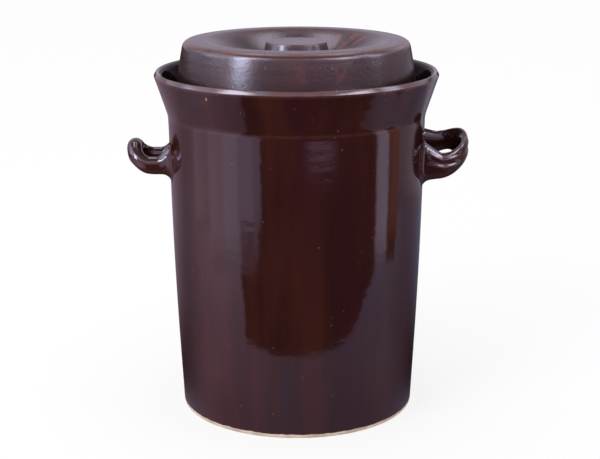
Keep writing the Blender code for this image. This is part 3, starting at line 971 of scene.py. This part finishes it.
def handle_path(shape, pot):
    """Points of the loop's middle line, each with what handle_section() takes after shape."""
    reach = shape.run + shape.curl_radius * (shape.curl + shape.droop)
    leg = reach - shape.nose
    half = shape.span / 2
    level = SEAM_HEIGHT - shape.below_seam
    start = wall_radius(pot, level) - shape.root_depth
    places = []
    for ring in range(shape.leg_rings):
        part = (ring / shape.leg_rings) ** 1.3  # the rings lie closer near the wall
        places.append((leg * part - shape.root_sink * (1 - part), -half, 0.0))
    for ring in range(shape.nose_rings + 1):
        turn_angle = math.pi * ring / shape.nose_rings
        bulge = math.sin(turn_angle)
        places.append((leg + shape.nose * bulge, -half * math.cos(turn_angle), bulge))
    places += [(along, -across, tip) for along, across, tip in reversed(places[: shape.leg_rings])]
    path = []
    for along, across, tip in places:
        flat = hook(shape, start, along)
        height = level + flat.y + shape.tilt * across / shape.span
        height -= shape.lean * math.sin(math.pi * across / half)
        root = 1 - ease(along / shape.root_length) if tip == 0 else 0.0
        if across > 0:
            root *= shape.far_root
        far = ease(0.5 + across / shape.span)
        dip = shape.dip * (1 - far) * bump_at(along, reach - DIP_PLACE, TIP_ZONE)
        tuck = shape.tuck * (1 + 0.5 * far) * bump_at(along, reach - TUCK_PLACE, TIP_ZONE)
        path.append((Vector((flat.x, across, height)), root, ease(tip), far, dip, tuck))
    return path


def handle_section(shape, root, tip, far, dip, tuck):
    """The strap's section as (outward, upward) points, with a groove down its outer face."""
    thick = shape.thick + (shape.tip_thick - shape.thick) * tip
    leg = shape.tall * (1 - (1 - shape.far_leg) * far)
    tall = leg + (shape.tip_tall - leg) * tip
    thick = thick / 2 + shape.root_thick * root - shape.trim
    tall = tall / 2 + shape.root_tall * root - shape.trim
    points = []
    for side in range(shape.sides):
        turn_angle = math.tau * side / shape.sides
        outward = thick * math.cos(turn_angle)
        upward = tall * math.sin(turn_angle)
        level = upward / tall
        if outward > 0:
            middle = level - shape.groove_height
            dent = bump_at(middle, 0.0, shape.groove_width)
            ridges = bump_at(abs(middle), 2 * shape.groove_width, shape.groove_width / 2)
            shaping = shape.groove * dent - shape.ridge * ridges
            outward -= shaping * (1 - root) * (1 - 0.6 * tip)
        bow = shape.bow if level < 0 else shape.bow_above
        outward -= bow * tip * level**2
        upward += tuck * fit(-level, 0.0, 1.0) - dip * fit(level, 0.0, 1.0)
        points.append(Vector((outward, upward + shape.root_rise * root)))
    return points


def rooted(point, normal, shape, pot):
    """Spreads a point of the strap near the wall, so that the root runs into the wall."""
    away = math.hypot(point.x, point.y) - wall_radius(pot, point.z)
    lowness = 0.5 - 0.5 * normal.z
    fillet = shape.fillet_above + (shape.fillet_below - shape.fillet_above) * lowness
    if away >= fillet:
        return point
    near = 1 - max(0.0, away) / fillet
    spread = fillet * (1 - math.sqrt(max(0.0, 1 - near * near)))
    spread += 2 * min(0.001, max(0.0, -away))
    moved = point + normal * spread
    scale = (wall_radius(pot, moved.z) + away) / math.hypot(moved.x, moved.y)
    return Vector((moved.x * scale, moved.y * scale, moved.z))


def make_handle(name, node, side, shape, pot, material):
    """A loop of clay: side is 1 on the right, and -1 on the left, where it is mirrored."""
    path = handle_path(shape, pot)
    bm = bmesh.new()
    thin = bm.verts.layers.float.new("thin")
    pits = bm.verts.layers.float.new("pits")
    rings = []
    for index, (place, *shares) in enumerate(path):
        before = path[max(0, index - 1)][0]
        after = path[min(len(path) - 1, index + 1)][0]
        along = (after - before).normalized()
        outward = along.cross(Vector((0, 0, 1))).normalized()
        upward = outward.cross(along)
        pinch = 1 - shape.uneven / shape.thick * (1 + noise.noise(place * 70.0 * side))
        section = [point * pinch for point in handle_section(shape, *shares)]
        curve = curvature(section, True)
        ring = []
        for corner, (out, up) in enumerate(section):
            following = section[(corner + 1) % shape.sides] - section[corner - 1]
            facing = (outward * following.y - upward * following.x).normalized()
            point = rooted(place + outward * out + upward * up, facing, shape, pot)
            vertex = bm.verts.new((side * point.x, point.y, point.z))
            vertex[thin] = 0.6 * fit(curve[corner], 0.22, 0.45)
            vertex[pits] = 0.15
            ring.append(vertex)
        rings.append(ring)
    for low, high in zip(rings, rings[1:]):
        for corner in range(shape.sides):
            following = (corner + 1) % shape.sides
            bm.faces.new((low[corner], low[following], high[following], high[corner]))
    bm.faces.new(rings[0])
    bm.faces.new(rings[-1])
    bmesh.ops.recalc_face_normals(bm, faces=bm.faces)
    mesh = own_mesh(bm, name)
    mesh.shade_smooth()
    mesh.materials.append(material)
    join(new_object(name, mesh), "pot", node)


def skirt_radius(lid, height):
    part = (height - LID_BOTTOM) / (LID_TOP - LID_BOTTOM)
    return LID_RADIUS - lid.skirt_lean * max(0.0, part) ** lid.skirt_power


def dish(lid, drop):
    """Corners down the dish's slope, from the crest to its flat middle."""
    steps = 30
    corners = []
    for step in range(steps + 1):
        part = 1 - step / steps
        radius = lid.dish_radius + (lid.crest_radius - lid.dish_radius) * part
        height = LID_TOP - lid.dish_depth * (1 - ease(part))
        corners.append((radius, height - drop, 0))
    return corners


def lid_outline(lid):
    """From the middle of the ceiling down the lining, round the edge and up the skirt."""
    shoulder = LID_TOP - lid.shoulder_drop
    ceiling = shoulder - lid.thickness
    steps = 24
    heights = [LID_BOTTOM + (shoulder - LID_BOTTOM) * step / steps for step in range(steps + 1)]
    lining = [z for z in heights[1:] if z < ceiling - 1.5 * lid.shoulder_round]
    skirt = [z for z in heights[1:] if z < shoulder - 1.5 * lid.shoulder_round]
    drop = lid.thickness + lid.shoulder_drop
    corners = [(0.0, LID_TOP - lid.dish_depth - drop, 0)]
    corners += list(reversed(dish(lid, drop)))
    corners.append((skirt_radius(lid, ceiling) - lid.thickness, ceiling, lid.shoulder_round))
    corners += [(skirt_radius(lid, z) - lid.thickness, z, 0) for z in reversed(lining)]
    corners += [
        (LID_RADIUS - lid.thickness, LID_BOTTOM, lid.skirt_round),
        (LID_RADIUS, LID_BOTTOM, lid.skirt_round),
    ]
    corners += [(skirt_radius(lid, z), z, 0) for z in skirt]
    corners.append((skirt_radius(lid, shoulder), shoulder, lid.shoulder_round))
    corners += dish(lid, 0.0)
    corners.append((0.0, LID_TOP - lid.dish_depth, 0))
    return filled(rounded(corners), FINE)


def cut_notches(shell, lid):
    """Cuts the two gas notches in the skirt's lower edge, front and back."""
    bm = bmesh.new()
    bmesh.ops.create_cone(
        bm,
        cap_ends=True,
        segments=40,
        radius1=lid.notch_radius,
        radius2=lid.notch_radius,
        depth=4 * LID_RADIUS,
        matrix=Matrix.Translation((0, 0, LID_BOTTOM)) @ Matrix.Rotation(math.pi / 2, 4, "X"),
    )
    bar = new_object("notch_bar", own_mesh(bm, "notch_bar"))
    boolean = shell.modifiers.new("notches", "BOOLEAN")
    boolean.operation = "DIFFERENCE"
    boolean.solver = "MANIFOLD"
    boolean.object = bar
    settle(shell)
    bpy.data.objects.remove(bar)
    shell.data.set_sharp_from_angle(angle=SHARP)


def make_shell(settings, glaze):
    lid = settings.lid
    shoulder = LID_TOP - lid.shoulder_drop

    def shell_values(point, bend):
        outside = point.x > skirt_radius(lid, point.y) - lid.thickness / 2
        upper = point.y > LID_TOP - 2 * lid.shoulder_round
        edge = 0.8 * fit(bend, 0.06, 0.12) * fit(point.y, shoulder - 0.0032, shoulder - 0.0012)
        dish_edge = 0.35 * bump_at(point.x, lid.crest_radius - 0.012, 0.005) if upper else 0.0
        bare = lid.clay_line + CLAY_MARGIN - (point.y - LID_BOTTOM)
        pits = 0.0
        if outside and point.y > RIM_HEIGHT:
            pits = 0.5 if upper else 0.25
        return max(edge, dish_edge), bare, 0.7, pits

    sizes = (settings.pot.segments, settings.hand)
    shell = turn("lid_dome", lid_outline(lid), glaze, *sizes, shell_values, seed=23.0)
    cut_notches(shell, lid)
    join(shell, "lid", "lid_shell")
    return shell


def make_knob(settings, glaze):
    lid = settings.lid
    top = KNOB_HIGH.z
    side = KNOB_HIGH.y - lid.knob_flare
    edge = side - lid.knob_chamfer
    flat = edge - 2 * lid.knob_round
    corners = [
        (0.0, KNOB_LOW.z, 0),
        (KNOB_HIGH.y, KNOB_LOW.z, 0),
        (side, top - lid.knob_slope, lid.knob_slope / 2),
        (edge, top, lid.knob_round),
        (flat, top, 0),
    ]
    steps = 10
    for step in range(1, steps + 1):
        part = 1 - step / steps
        corners.append((flat * part, top - lid.knob_crown * (1 - part * part), 0))

    def knob_values(point, bend):
        return 0.5 * fit(bend, 0.20, 0.55), NO_CLAY, 1.0, 0.2

    outline = filled(rounded(corners), FINE / 2)
    sizes = (lid.knob_segments, settings.hand)
    knob = turn("knob_button", outline, glaze, *sizes, knob_values, seed=31.0)
    join(knob, "lid", "lid_knob")


def make_stone(name, node, body, hand, material):
    """A weight stone: its CAD solid, remeshed fine and roughened inwards."""
    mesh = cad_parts[node].data.copy()
    mesh.name = name
    mesh.materials.clear()
    mesh.materials.append(material)
    stone = new_object(name, mesh)
    bm = bmesh.new()
    bm.from_mesh(mesh)
    bmesh.ops.remove_doubles(bm, verts=bm.verts, dist=1e-6)
    bm.to_mesh(mesh)
    bm.free()
    remesh = stone.modifiers.new("voxels", "REMESH")
    remesh.mode = "VOXEL"
    remesh.voxel_size = hand.stone_voxel
    remesh.use_smooth_shade = True
    smooth = stone.modifiers.new("worn", "SMOOTH")
    smooth.iterations = 4
    settle(stone)
    normals = [vertex.normal.copy() for vertex in stone.data.vertices]
    for vertex, normal in zip(stone.data.vertices, normals):
        coarse = noise.noise(vertex.co * 90.0)
        fine = noise.noise(vertex.co * 420.0)
        depth = hand.stone_grain * (0.5 + 0.3 * coarse + 0.2 * fine)
        vertex.co -= normal * depth
    join(stone, body, node)


def mark_mesh(clay=ALL_CLAY):
    """A pinhole one metre across: a low ring of glaze round a floor of bare clay."""
    sides = 8
    bm = bmesh.new()
    bare = bm.verts.layers.float.new("bare")
    centre = bm.verts.new((0.0, 0.0, 0.004))
    centre[bare] = clay
    loops = []
    for radius, height, bareness in ((0.20, 0.010, clay), (0.28, 0.060, 0.0), (0.50, -0.06, 0.0)):
        loop = []
        for side in range(sides):
            place = on_circle(Vector((0.0, 0.0)), radius, math.tau * side / sides)
            vertex = bm.verts.new((*place, height))
            vertex[bare] = bareness
            loop.append(vertex)
        loops.append(loop)
    for side in range(sides):
        following = (side + 1) % sides
        bm.faces.new((centre, loops[0][side], loops[0][following]))
        for low, high in zip(loops, loops[1:]):
            bm.faces.new((low[side], high[side], high[following], low[following]))
    mesh = own_mesh(bm, "pinhole_form")
    mesh.shade_smooth()
    return mesh


def pinhole_material(look):
    found = bpy.data.materials.get("pinhole_glaze")
    return found or glaze_material("pinhole_glaze", look, clay=tuple(look.pit))


def make_spots(name, piece, body, slot, settings, spots):
    """The few larger marks, each set on the piece where a ray towards the axis meets it."""
    tree = BVHTree.FromObject(piece, bpy.context.evaluated_depsgraph_get())
    bm = bmesh.new()
    for facing, height, width, tall, lean, clay in spots:
        outward = Vector((math.sin(math.radians(facing)), -math.cos(math.radians(facing)), 0.0))
        place, normal, *_ = tree.ray_cast(outward + Vector((0, 0, height)), -outward)
        across = Vector((0, 0, 1)).cross(normal).normalized()
        upward = normal.cross(across)
        axes = Matrix((across * width, upward * tall, normal * width)).transposed().to_4x4()
        spin = Matrix.Rotation(math.radians(lean), 4, normal)
        mesh = mark_mesh(clay)
        mesh.transform(Matrix.Translation(place) @ spin @ axes)
        bm.from_mesh(mesh)
        bpy.data.meshes.remove(mesh)
    mesh = own_mesh(bm, name)
    mesh.shade_smooth()
    mesh.materials.append(pinhole_material(settings.glaze))
    made = new_object(name, mesh)
    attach(made, body)


def make_marks(name, piece, body, slot, settings, density, seed):
    """Pinholes over one glazed piece, density of them to a square metre where pits is 1."""
    form = new_object("pinhole_form", mark_mesh())
    marks = new_object(name, piece.data.copy())
    inputs = {
        "Mark": form,
        "Density": density,
        "Smallest": SMALLEST_PIT,
        "Largest": LARGEST_PIT,
        "Seed": seed,
        "Material": pinhole_material(settings.glaze),
    }
    add_tree(marks, pin_holes, inputs)
    settle(marks)
    bpy.data.objects.remove(form)
    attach(marks, body)


def plain_glow(name, tone, strength):
    material, nodes = new_material(name)
    nodes.finish(nodes.glow(strength, tone))
    return material


def floor_material(look):
    """A pale floor that is white to the camera and still takes the crock's shadow."""
    material, nodes = new_material("pale_floor")
    seen = nodes.add("ShaderNodeLightPath", {}, {}, "Is Camera Ray")
    tone = nodes.mix(seen, look.floor, SHADOW_TONE)
    matt = nodes.add("ShaderNodeBsdfDiffuse", {}, {"Color": tone})
    nodes.finish(nodes.add("ShaderNodeAddShader", {}, {0: matt, 1: nodes.glow(seen * FLOOR_GLOW)}))
    return material


def make_world(look):
    """White where it is seen, and a plain even daylight on everything."""
    world = bpy.data.worlds.new("studio")
    world.use_nodes = True
    world.node_tree.nodes.clear()
    nodes = Nodes(world.node_tree)
    camera = nodes.add("ShaderNodeLightPath", {}, {}, "Is Camera Ray")
    seen = camera + camera.other("Is Glossy Ray") + camera.other("Is Transmission Ray")
    strength = nodes.blend(seen.clamp(), look.daylight, 1.0)
    light = nodes.add("ShaderNodeBackground", {}, {"Color": (1, 1, 1, 1), "Strength": strength})
    nodes.add("ShaderNodeOutputWorld", {}, {"Surface": light})
    bpy.context.scene.world = world


def only_reflected(made):
    """Makes a studio card show in the glaze and nowhere else."""
    for ray in ("camera", "diffuse", "transmission", "volume_scatter", "shadow"):
        setattr(made, f"visible_{ray}", False)


def glow_material(name, tone, strength, low, high, sides):
    """Light of one tone that fades out downwards, from high to low, and towards its sides."""
    material, nodes = new_material(name)
    x, y, z = nodes.place().parts()
    glow = nodes.glow(z.rise(low, high) * strength, tone)
    if sides:
        start, end, soft = (math.radians(value) for value in sides)
        around = around_axis(x, y)
        solid = around.rise(start, start + soft) * (1 - around.rise(end - soft, end))
        clear = nodes.add("ShaderNodeBsdfTransparent")
        glow = nodes.add("ShaderNodeMixShader", {}, {0: solid, 1: clear, 2: glow})
    nodes.finish(glow)
    return material


def upright_card(name, low_angle, high_angle, distance, low, high, fade, tone, strength, soft=0):
    """A curved card round the crock; angles are in degrees from the viewer, right is positive."""
    sides = (low_angle, high_angle, soft) if soft else None
    steps = max(2, round((high_angle - low_angle) / 4))
    foot = max(0.0, low - fade)
    places = []
    for step in range(steps + 1):
        turn_angle = math.radians(low_angle + (high_angle - low_angle) * step / steps)
        x, y = distance * math.sin(turn_angle), -distance * math.cos(turn_angle)
        places += [(x, y, foot), (x, y, high)]
    faces = [(2 * i, 2 * i + 1, 2 * i + 3, 2 * i + 2) for i in range(steps)]
    mesh = bpy.data.meshes.new(name)
    mesh.from_pydata(places, [], faces)
    mesh.materials.append(glow_material(name, tone, strength, low - fade, low + fade, sides))
    only_reflected(new_object(name, mesh))


def table_material():
    """Light that the table gives back: brightest left in front, dimmer behind the crock."""
    material, nodes = new_material("table_top")
    x, y, _ = nodes.place().parts()
    away = off_axis(x, y)
    left = (x / away * -1).rise(-0.35, 0.75)
    behind = (y / away).rise(-0.55, 0.50)
    near = 1 - away.rise(0.15, 0.45)
    tone = nodes.mix(left, (0.52, 0.52, 0.76), (0.94, 0.70, 0.95))
    strength = (1 - behind * 0.77) * (1 - near * behind * 0.75)
    strength = strength * (0.75 + away.rise(0.2, 0.9) * 0.9)
    beside = (1 - away.rise(0.13, 0.26)) * (x / away) ** 2
    strength = strength * (1 - beside * 0.45)
    facing = nodes.add("ShaderNodeLayerWeight", {}, {"Blend": 0.5}, "Facing")
    strength = strength * (0.4 + facing.rise(0.25, 0.6) * 0.6)
    nodes.finish(nodes.glow(strength, tone))
    return material


def glint_material():
    """Thin bright lines on the table, which the glaze shows as broken glints."""
    material, nodes = new_material("glints")
    x, y, _ = nodes.place().parts()
    away = off_axis(x, y)
    flat = nodes.add("ShaderNodeCombineXYZ", {}, {"X": around_axis(x, y) * 0.25, "Y": away})
    lines = nodes.grain(flat, 0.010, 2.0).rise(0.42, 0.62)
    strength = (0.15 + lines) * away.rise(0.52, 0.66)
    nodes.finish(nodes.glow(strength, (0.84, 0.72, 1.0)))
    return material


def flat_card(name, level, outline, material):
    """A level card with the given outline of (x, y) places."""
    mesh = bpy.data.meshes.new(name)
    places = [(x, y, level) for x, y in outline]
    mesh.from_pydata(places, [], [tuple(range(len(places)))])
    mesh.materials.append(material)
    return new_object(name, mesh)


def square(reach):
    return ((-reach, -reach), (reach, -reach), (reach, reach), (-reach, reach))


ROOM_PLAN = square(2.6)
GLINT_PLAN = ((-0.42, -0.32), (-0.64, -0.50), (-0.42, -0.70), (-0.28, -0.44))
LEFT_LAMP_PLAN = ((-0.9, 0.3), (-0.25, 0.3), (-0.25, 1.6), (-0.9, 1.6))
RIGHT_LAMP_PLAN = ((0.25, 0.3), (0.9, 0.3), (0.9, 1.6), (0.25, 1.6))
TABLE_PLAN = (
    (-1.50, 1.50),
    (-1.50, -0.91),
    (-0.529, -0.437),
    (-0.312, -0.332),
    (-0.220, -0.254),
    (-0.180, -0.270),
    (-0.124, -0.286),
    (0.000, -0.302),
    (0.110, -0.292),
    (0.185, -0.270),
    (0.294, -0.252),
    (0.375, -0.255),
    (0.600, -0.196),
    (0.610, 0.020),
    (1.50, 0.30),
    (1.50, 1.50),
)

# name, from and to angle, distance, from and to height, fade, tone, strength, soft sides
CARDS = (
    ("room_low", -180, 180, 2.60, 0.00, 0.36, 0.05, (1.0, 0.55, 0.55), 0.06),
    ("room_front", -45, 60, 2.55, 0.36, 2.00, 0.05, (0.9, 0.72, 1.0), 0.95),
    ("room_right", 60, 150, 2.55, 0.36, 2.00, 0.05, (0.9, 0.8, 1.0), 0.80),
    ("room_left", -130, -45, 2.55, 0.36, 2.00, 0.05, (0.9, 0.8, 1.0), 1.30),
    ("room_back", 150, 230, 2.55, 0.36, 2.00, 0.05, (0.9, 0.8, 1.0), 0.75),
    ("room_front_high", -45, 60, 2.50, 0.90, 2.00, 0.15, (0.92, 0.8, 1.0), 1.9),
    ("room_right_high", 60, 150, 2.50, 0.90, 2.00, 0.15, (0.9, 0.85, 1.0), 1.6),
    ("room_left_high", -130, -45, 2.50, 0.90, 2.00, 0.15, (0.9, 0.85, 1.0), 2.0),
    ("room_top", -180, 180, 2.45, 2.00, 2.45, 0.05, (0.9, 0.8, 1.0), 0.60),
    ("window_far", -99, -74, 0.78, 0.00, 0.34, 0.03, (0.84, 0.66, 0.88), 1.15, 5),
    ("window_left", -79, -59, 0.58, 0.00, 0.34, 0.08, (0.84, 0.70, 0.95), 1.50, 6),
    ("window_mid", -65, -44, 0.59, 0.00, 0.34, 0.08, (0.84, 0.76, 1.0), 1.90, 5),
    ("window_near", -50, -34, 0.80, 0.00, 0.34, 0.02, (0.84, 0.72, 1.0), 1.60, 4),
    ("window_edge", -38, -29, 0.81, 0.00, 0.34, 0.02, (0.84, 0.72, 1.0), 1.20, 1),
    ("window_left_high", -64, -46, 1.60, 0.60, 1.15, 0.25, (0.70, 0.80, 1.0), 30.0, 3),
    ("window_left_top", -74, -32, 1.60, 1.15, 1.75, 0.01, (0.88, 0.84, 1.0), 19.0, 16),
    ("window_far_high", -108, -66, 1.61, 0.60, 1.15, 0.15, (0.70, 0.80, 1.0), 6.6, 12),
    ("window_far_top", -116, -62, 1.61, 1.15, 2.20, 0.01, (0.80, 0.82, 1.0), 3.6, 12),
    ("window_near_high", -43, -22, 1.62, 0.85, 2.20, 0.15, (0.70, 0.80, 1.0), 4.0, 8),
    ("window_front_top", -76, 76, 1.66, 1.25, 2.20, 0.05, (1.0, 0.78, 0.84), 2.4, 14),
    ("window_right_near", 22, 76, 1.62, 1.15, 1.62, 0.12, (0.88, 0.84, 1.0), 16.0, 20),
    ("window_right_high", 42, 66, 1.60, 0.85, 1.20, 0.15, (0.78, 0.82, 1.0), 10.0, 6),
    ("window_right_far", 72, 98, 1.60, 0.65, 2.20, 0.15, (0.78, 0.82, 1.0), 8.0, 10),
    ("strip_right", 67, 83, 0.62, 0.00, 0.34, 0.06, (0.84, 0.76, 1.0), 1.75, 3),
    ("door_right", 83, 97, 0.72, 0.00, 0.34, 0.06, (1.0, 0.42, 0.26), 0.55, 3),
    ("wall_right", 94, 150, 0.90, 0.00, 0.34, 0.06, (0.95, 0.80, 1.0), 0.48, 4),
    ("streak_front", 3, 37, 1.00, 0.06, 0.20, 0.04, (0.82, 0.66, 1.0), 1.0, 11),
)


def make_lamp():
    """One large soft lamp, on the left in front, that doesn't show in the glaze."""
    lamp = bpy.data.lights.new("soft_lamp", "AREA")
    lamp.shape = "DISK"
    lamp.size = 1.2
    lamp.energy = 14
    soft = new_object("soft_lamp", lamp)
    soft.location = (-1.3, -1.5, 1.6)
    soft.rotation_euler = (-soft.location).to_track_quat("-Z", "Y").to_euler()
    soft.visible_glossy = False


def make_camera(look):
    data = bpy.data.cameras.new("camera")
    data.lens = look.lens
    data.sensor_width = 36.0
    camera = new_object("camera", data)
    place = Matrix.Translation((look.shift, -look.distance, look.height))
    pitch = Matrix.Rotation(math.pi / 2 - look.pitch, 4, "X")
    camera.matrix_world = place @ pitch @ Matrix.Rotation(look.roll, 4, "Z")
    bpy.context.scene.camera = camera


def make_stage(look):
    flat_card("studio_floor", 0.0, square(6.0), floor_material(look))
    ceiling_lamp = plain_glow("ceiling_lamp", (0.85, 0.86, 1.0), 5.0)
    for name, level, plan, material in (
        ("ground", 0.0005, ROOM_PLAN, plain_glow("ground", (1.0, 0.55, 0.5), 0.05)),
        ("ceiling", 2.45, ROOM_PLAN, plain_glow("ceiling", (0.9, 0.8, 1.0), 0.5)),
        ("ceiling_lamp_left", 2.40, LEFT_LAMP_PLAN, ceiling_lamp),
        ("ceiling_lamp_right", 2.40, RIGHT_LAMP_PLAN, ceiling_lamp),
        ("table_top", 0.001, TABLE_PLAN, table_material()),
        ("table_glints", 0.0008, GLINT_PLAN, glint_material()),
    ):
        only_reflected(flat_card(name, level, plan, material))
    for card in CARDS:
        upright_card(*card)
    make_world(look)
    make_lamp()
    make_camera(look)
    bpy.context.scene.view_settings.view_transform = "Standard"


class CROCK_OT_pot(bpy.types.Operator):
    """Turns the pot and its collar, glazes them and leaves the foot bare"""

    bl_idname = "crock.pot"
    bl_label = "Pot and Collar"

    def execute(self, context):
        settings = context.scene.crock
        glaze = glaze_material("pot_glaze", settings.glaze, marks=POT_RUNS)
        body = make_body(settings, glaze)
        collar = make_collar(settings, glaze)
        place = ("pot", "pot_glaze", settings)
        make_marks("wall_pinholes", body, *place, density=1200.0, seed=5)
        make_marks("rim_pinholes", collar, *place, density=9000.0, seed=8)
        make_spots("wall_spots", body, *place, WALL_SPOTS)
        make_spots("rim_spots", collar, *place, COLLAR_SPOTS)
        return {"FINISHED"}


class CROCK_OT_handles(bpy.types.Operator):
    """Pulls the two handles and sets their roots on the wall"""

    bl_idname = "crock.handles"
    bl_label = "Handles"

    def execute(self, context):
        settings = context.scene.crock
        glaze = glaze_material("handle_glaze", settings.glaze, rough=-0.03)
        make_handle("left_loop", "handle_left", -1, settings.left, settings.pot, glaze)
        make_handle("right_loop", "handle_right", 1, settings.right, settings.pot, glaze)
        return {"FINISHED"}


class CROCK_OT_lid(bpy.types.Operator):
    """Turns the lid and its knob"""

    bl_idname = "crock.lid"
    bl_label = "Lid and Knob"

    def execute(self, context):
        settings = context.scene.crock
        look = settings.glaze
        glaze = glaze_material("lid_glaze", look, rough=0.15, peel=4.5, fine=0.55, marks=LID_RUNS)
        shell = make_shell(settings, glaze)
        make_knob(settings, glaze)
        place = ("lid", "lid_glaze", settings)
        make_marks("lid_pinholes", shell, *place, density=4200.0, seed=13)
        make_spots("lid_spots", shell, *place, LID_SPOTS)
        return {"FINISHED"}


class CROCK_OT_stones(bpy.types.Operator):
    """Makes the two half-round weight stones"""

    bl_idname = "crock.stones"
    bl_label = "Weight Stones"

    def execute(self, context):
        settings = context.scene.crock
        clay = stone_material("stone_clay", settings.glaze)
        for body in ("stone_left", "stone_right"):
            make_stone(body, f"weight_{body}", body, settings.hand, clay)
        return {"FINISHED"}


class CROCK_OT_stage(bpy.types.Operator):
    """Sets up the pale floor, the studio's light and the camera"""

    bl_idname = "crock.stage"
    bl_label = "Stage"

    def execute(self, context):
        make_stage(context.scene.crock.stage)
        return {"FINISHED"}


OPERATORS = (CROCK_OT_pot, CROCK_OT_handles, CROCK_OT_lid, CROCK_OT_stones, CROCK_OT_stage)


class CROCK_PT_panel(bpy.types.Panel):
    """The crock's tools"""

    bl_idname = "CROCK_PT_panel"
    bl_label = "Fermentation Crock"
    bl_space_type = "VIEW_3D"
    bl_region_type = "UI"
    bl_category = "Crock"

    def draw(self, context):
        for operator in OPERATORS:
            self.layout.operator(operator.bl_idname)
        settings = context.scene.crock
        for group in ("pot", "lid", "left", "right", "hand", "glaze", "stage"):
            box = self.layout.box()
            box.label(text=group.capitalize())
            sizes = getattr(settings, group)
            for key in sizes.bl_rna.properties.keys():
                if key not in ("rna_type", "name"):
                    box.prop(sizes, key)


CLASSES = (
    CrockPotSizes,
    CrockLidSizes,
    CrockHandleSizes,
    CrockHandSizes,
    CrockGlazeLook,
    CrockStageLook,
    CrockSettings,
    *OPERATORS,
    CROCK_PT_panel,
)


def register():
    for item in CLASSES:
        bpy.utils.register_class(item)
    bpy.types.Scene.crock = PointerProperty(type=CrockSettings)


def unregister():
    del bpy.types.Scene.crock
    for item in reversed(CLASSES):
        bpy.utils.unregister_class(item)


def main():
    register()
    settings = bpy.context.scene.crock
    for key, value in RIGHT_HANDLE.items():
        setattr(settings.right, key, value)
    bpy.ops.crock.stage()
    bpy.ops.crock.pot()
    bpy.ops.crock.handles()
    bpy.ops.crock.lid()
    bpy.ops.crock.stones()


if __name__ == "__main__":
    main()
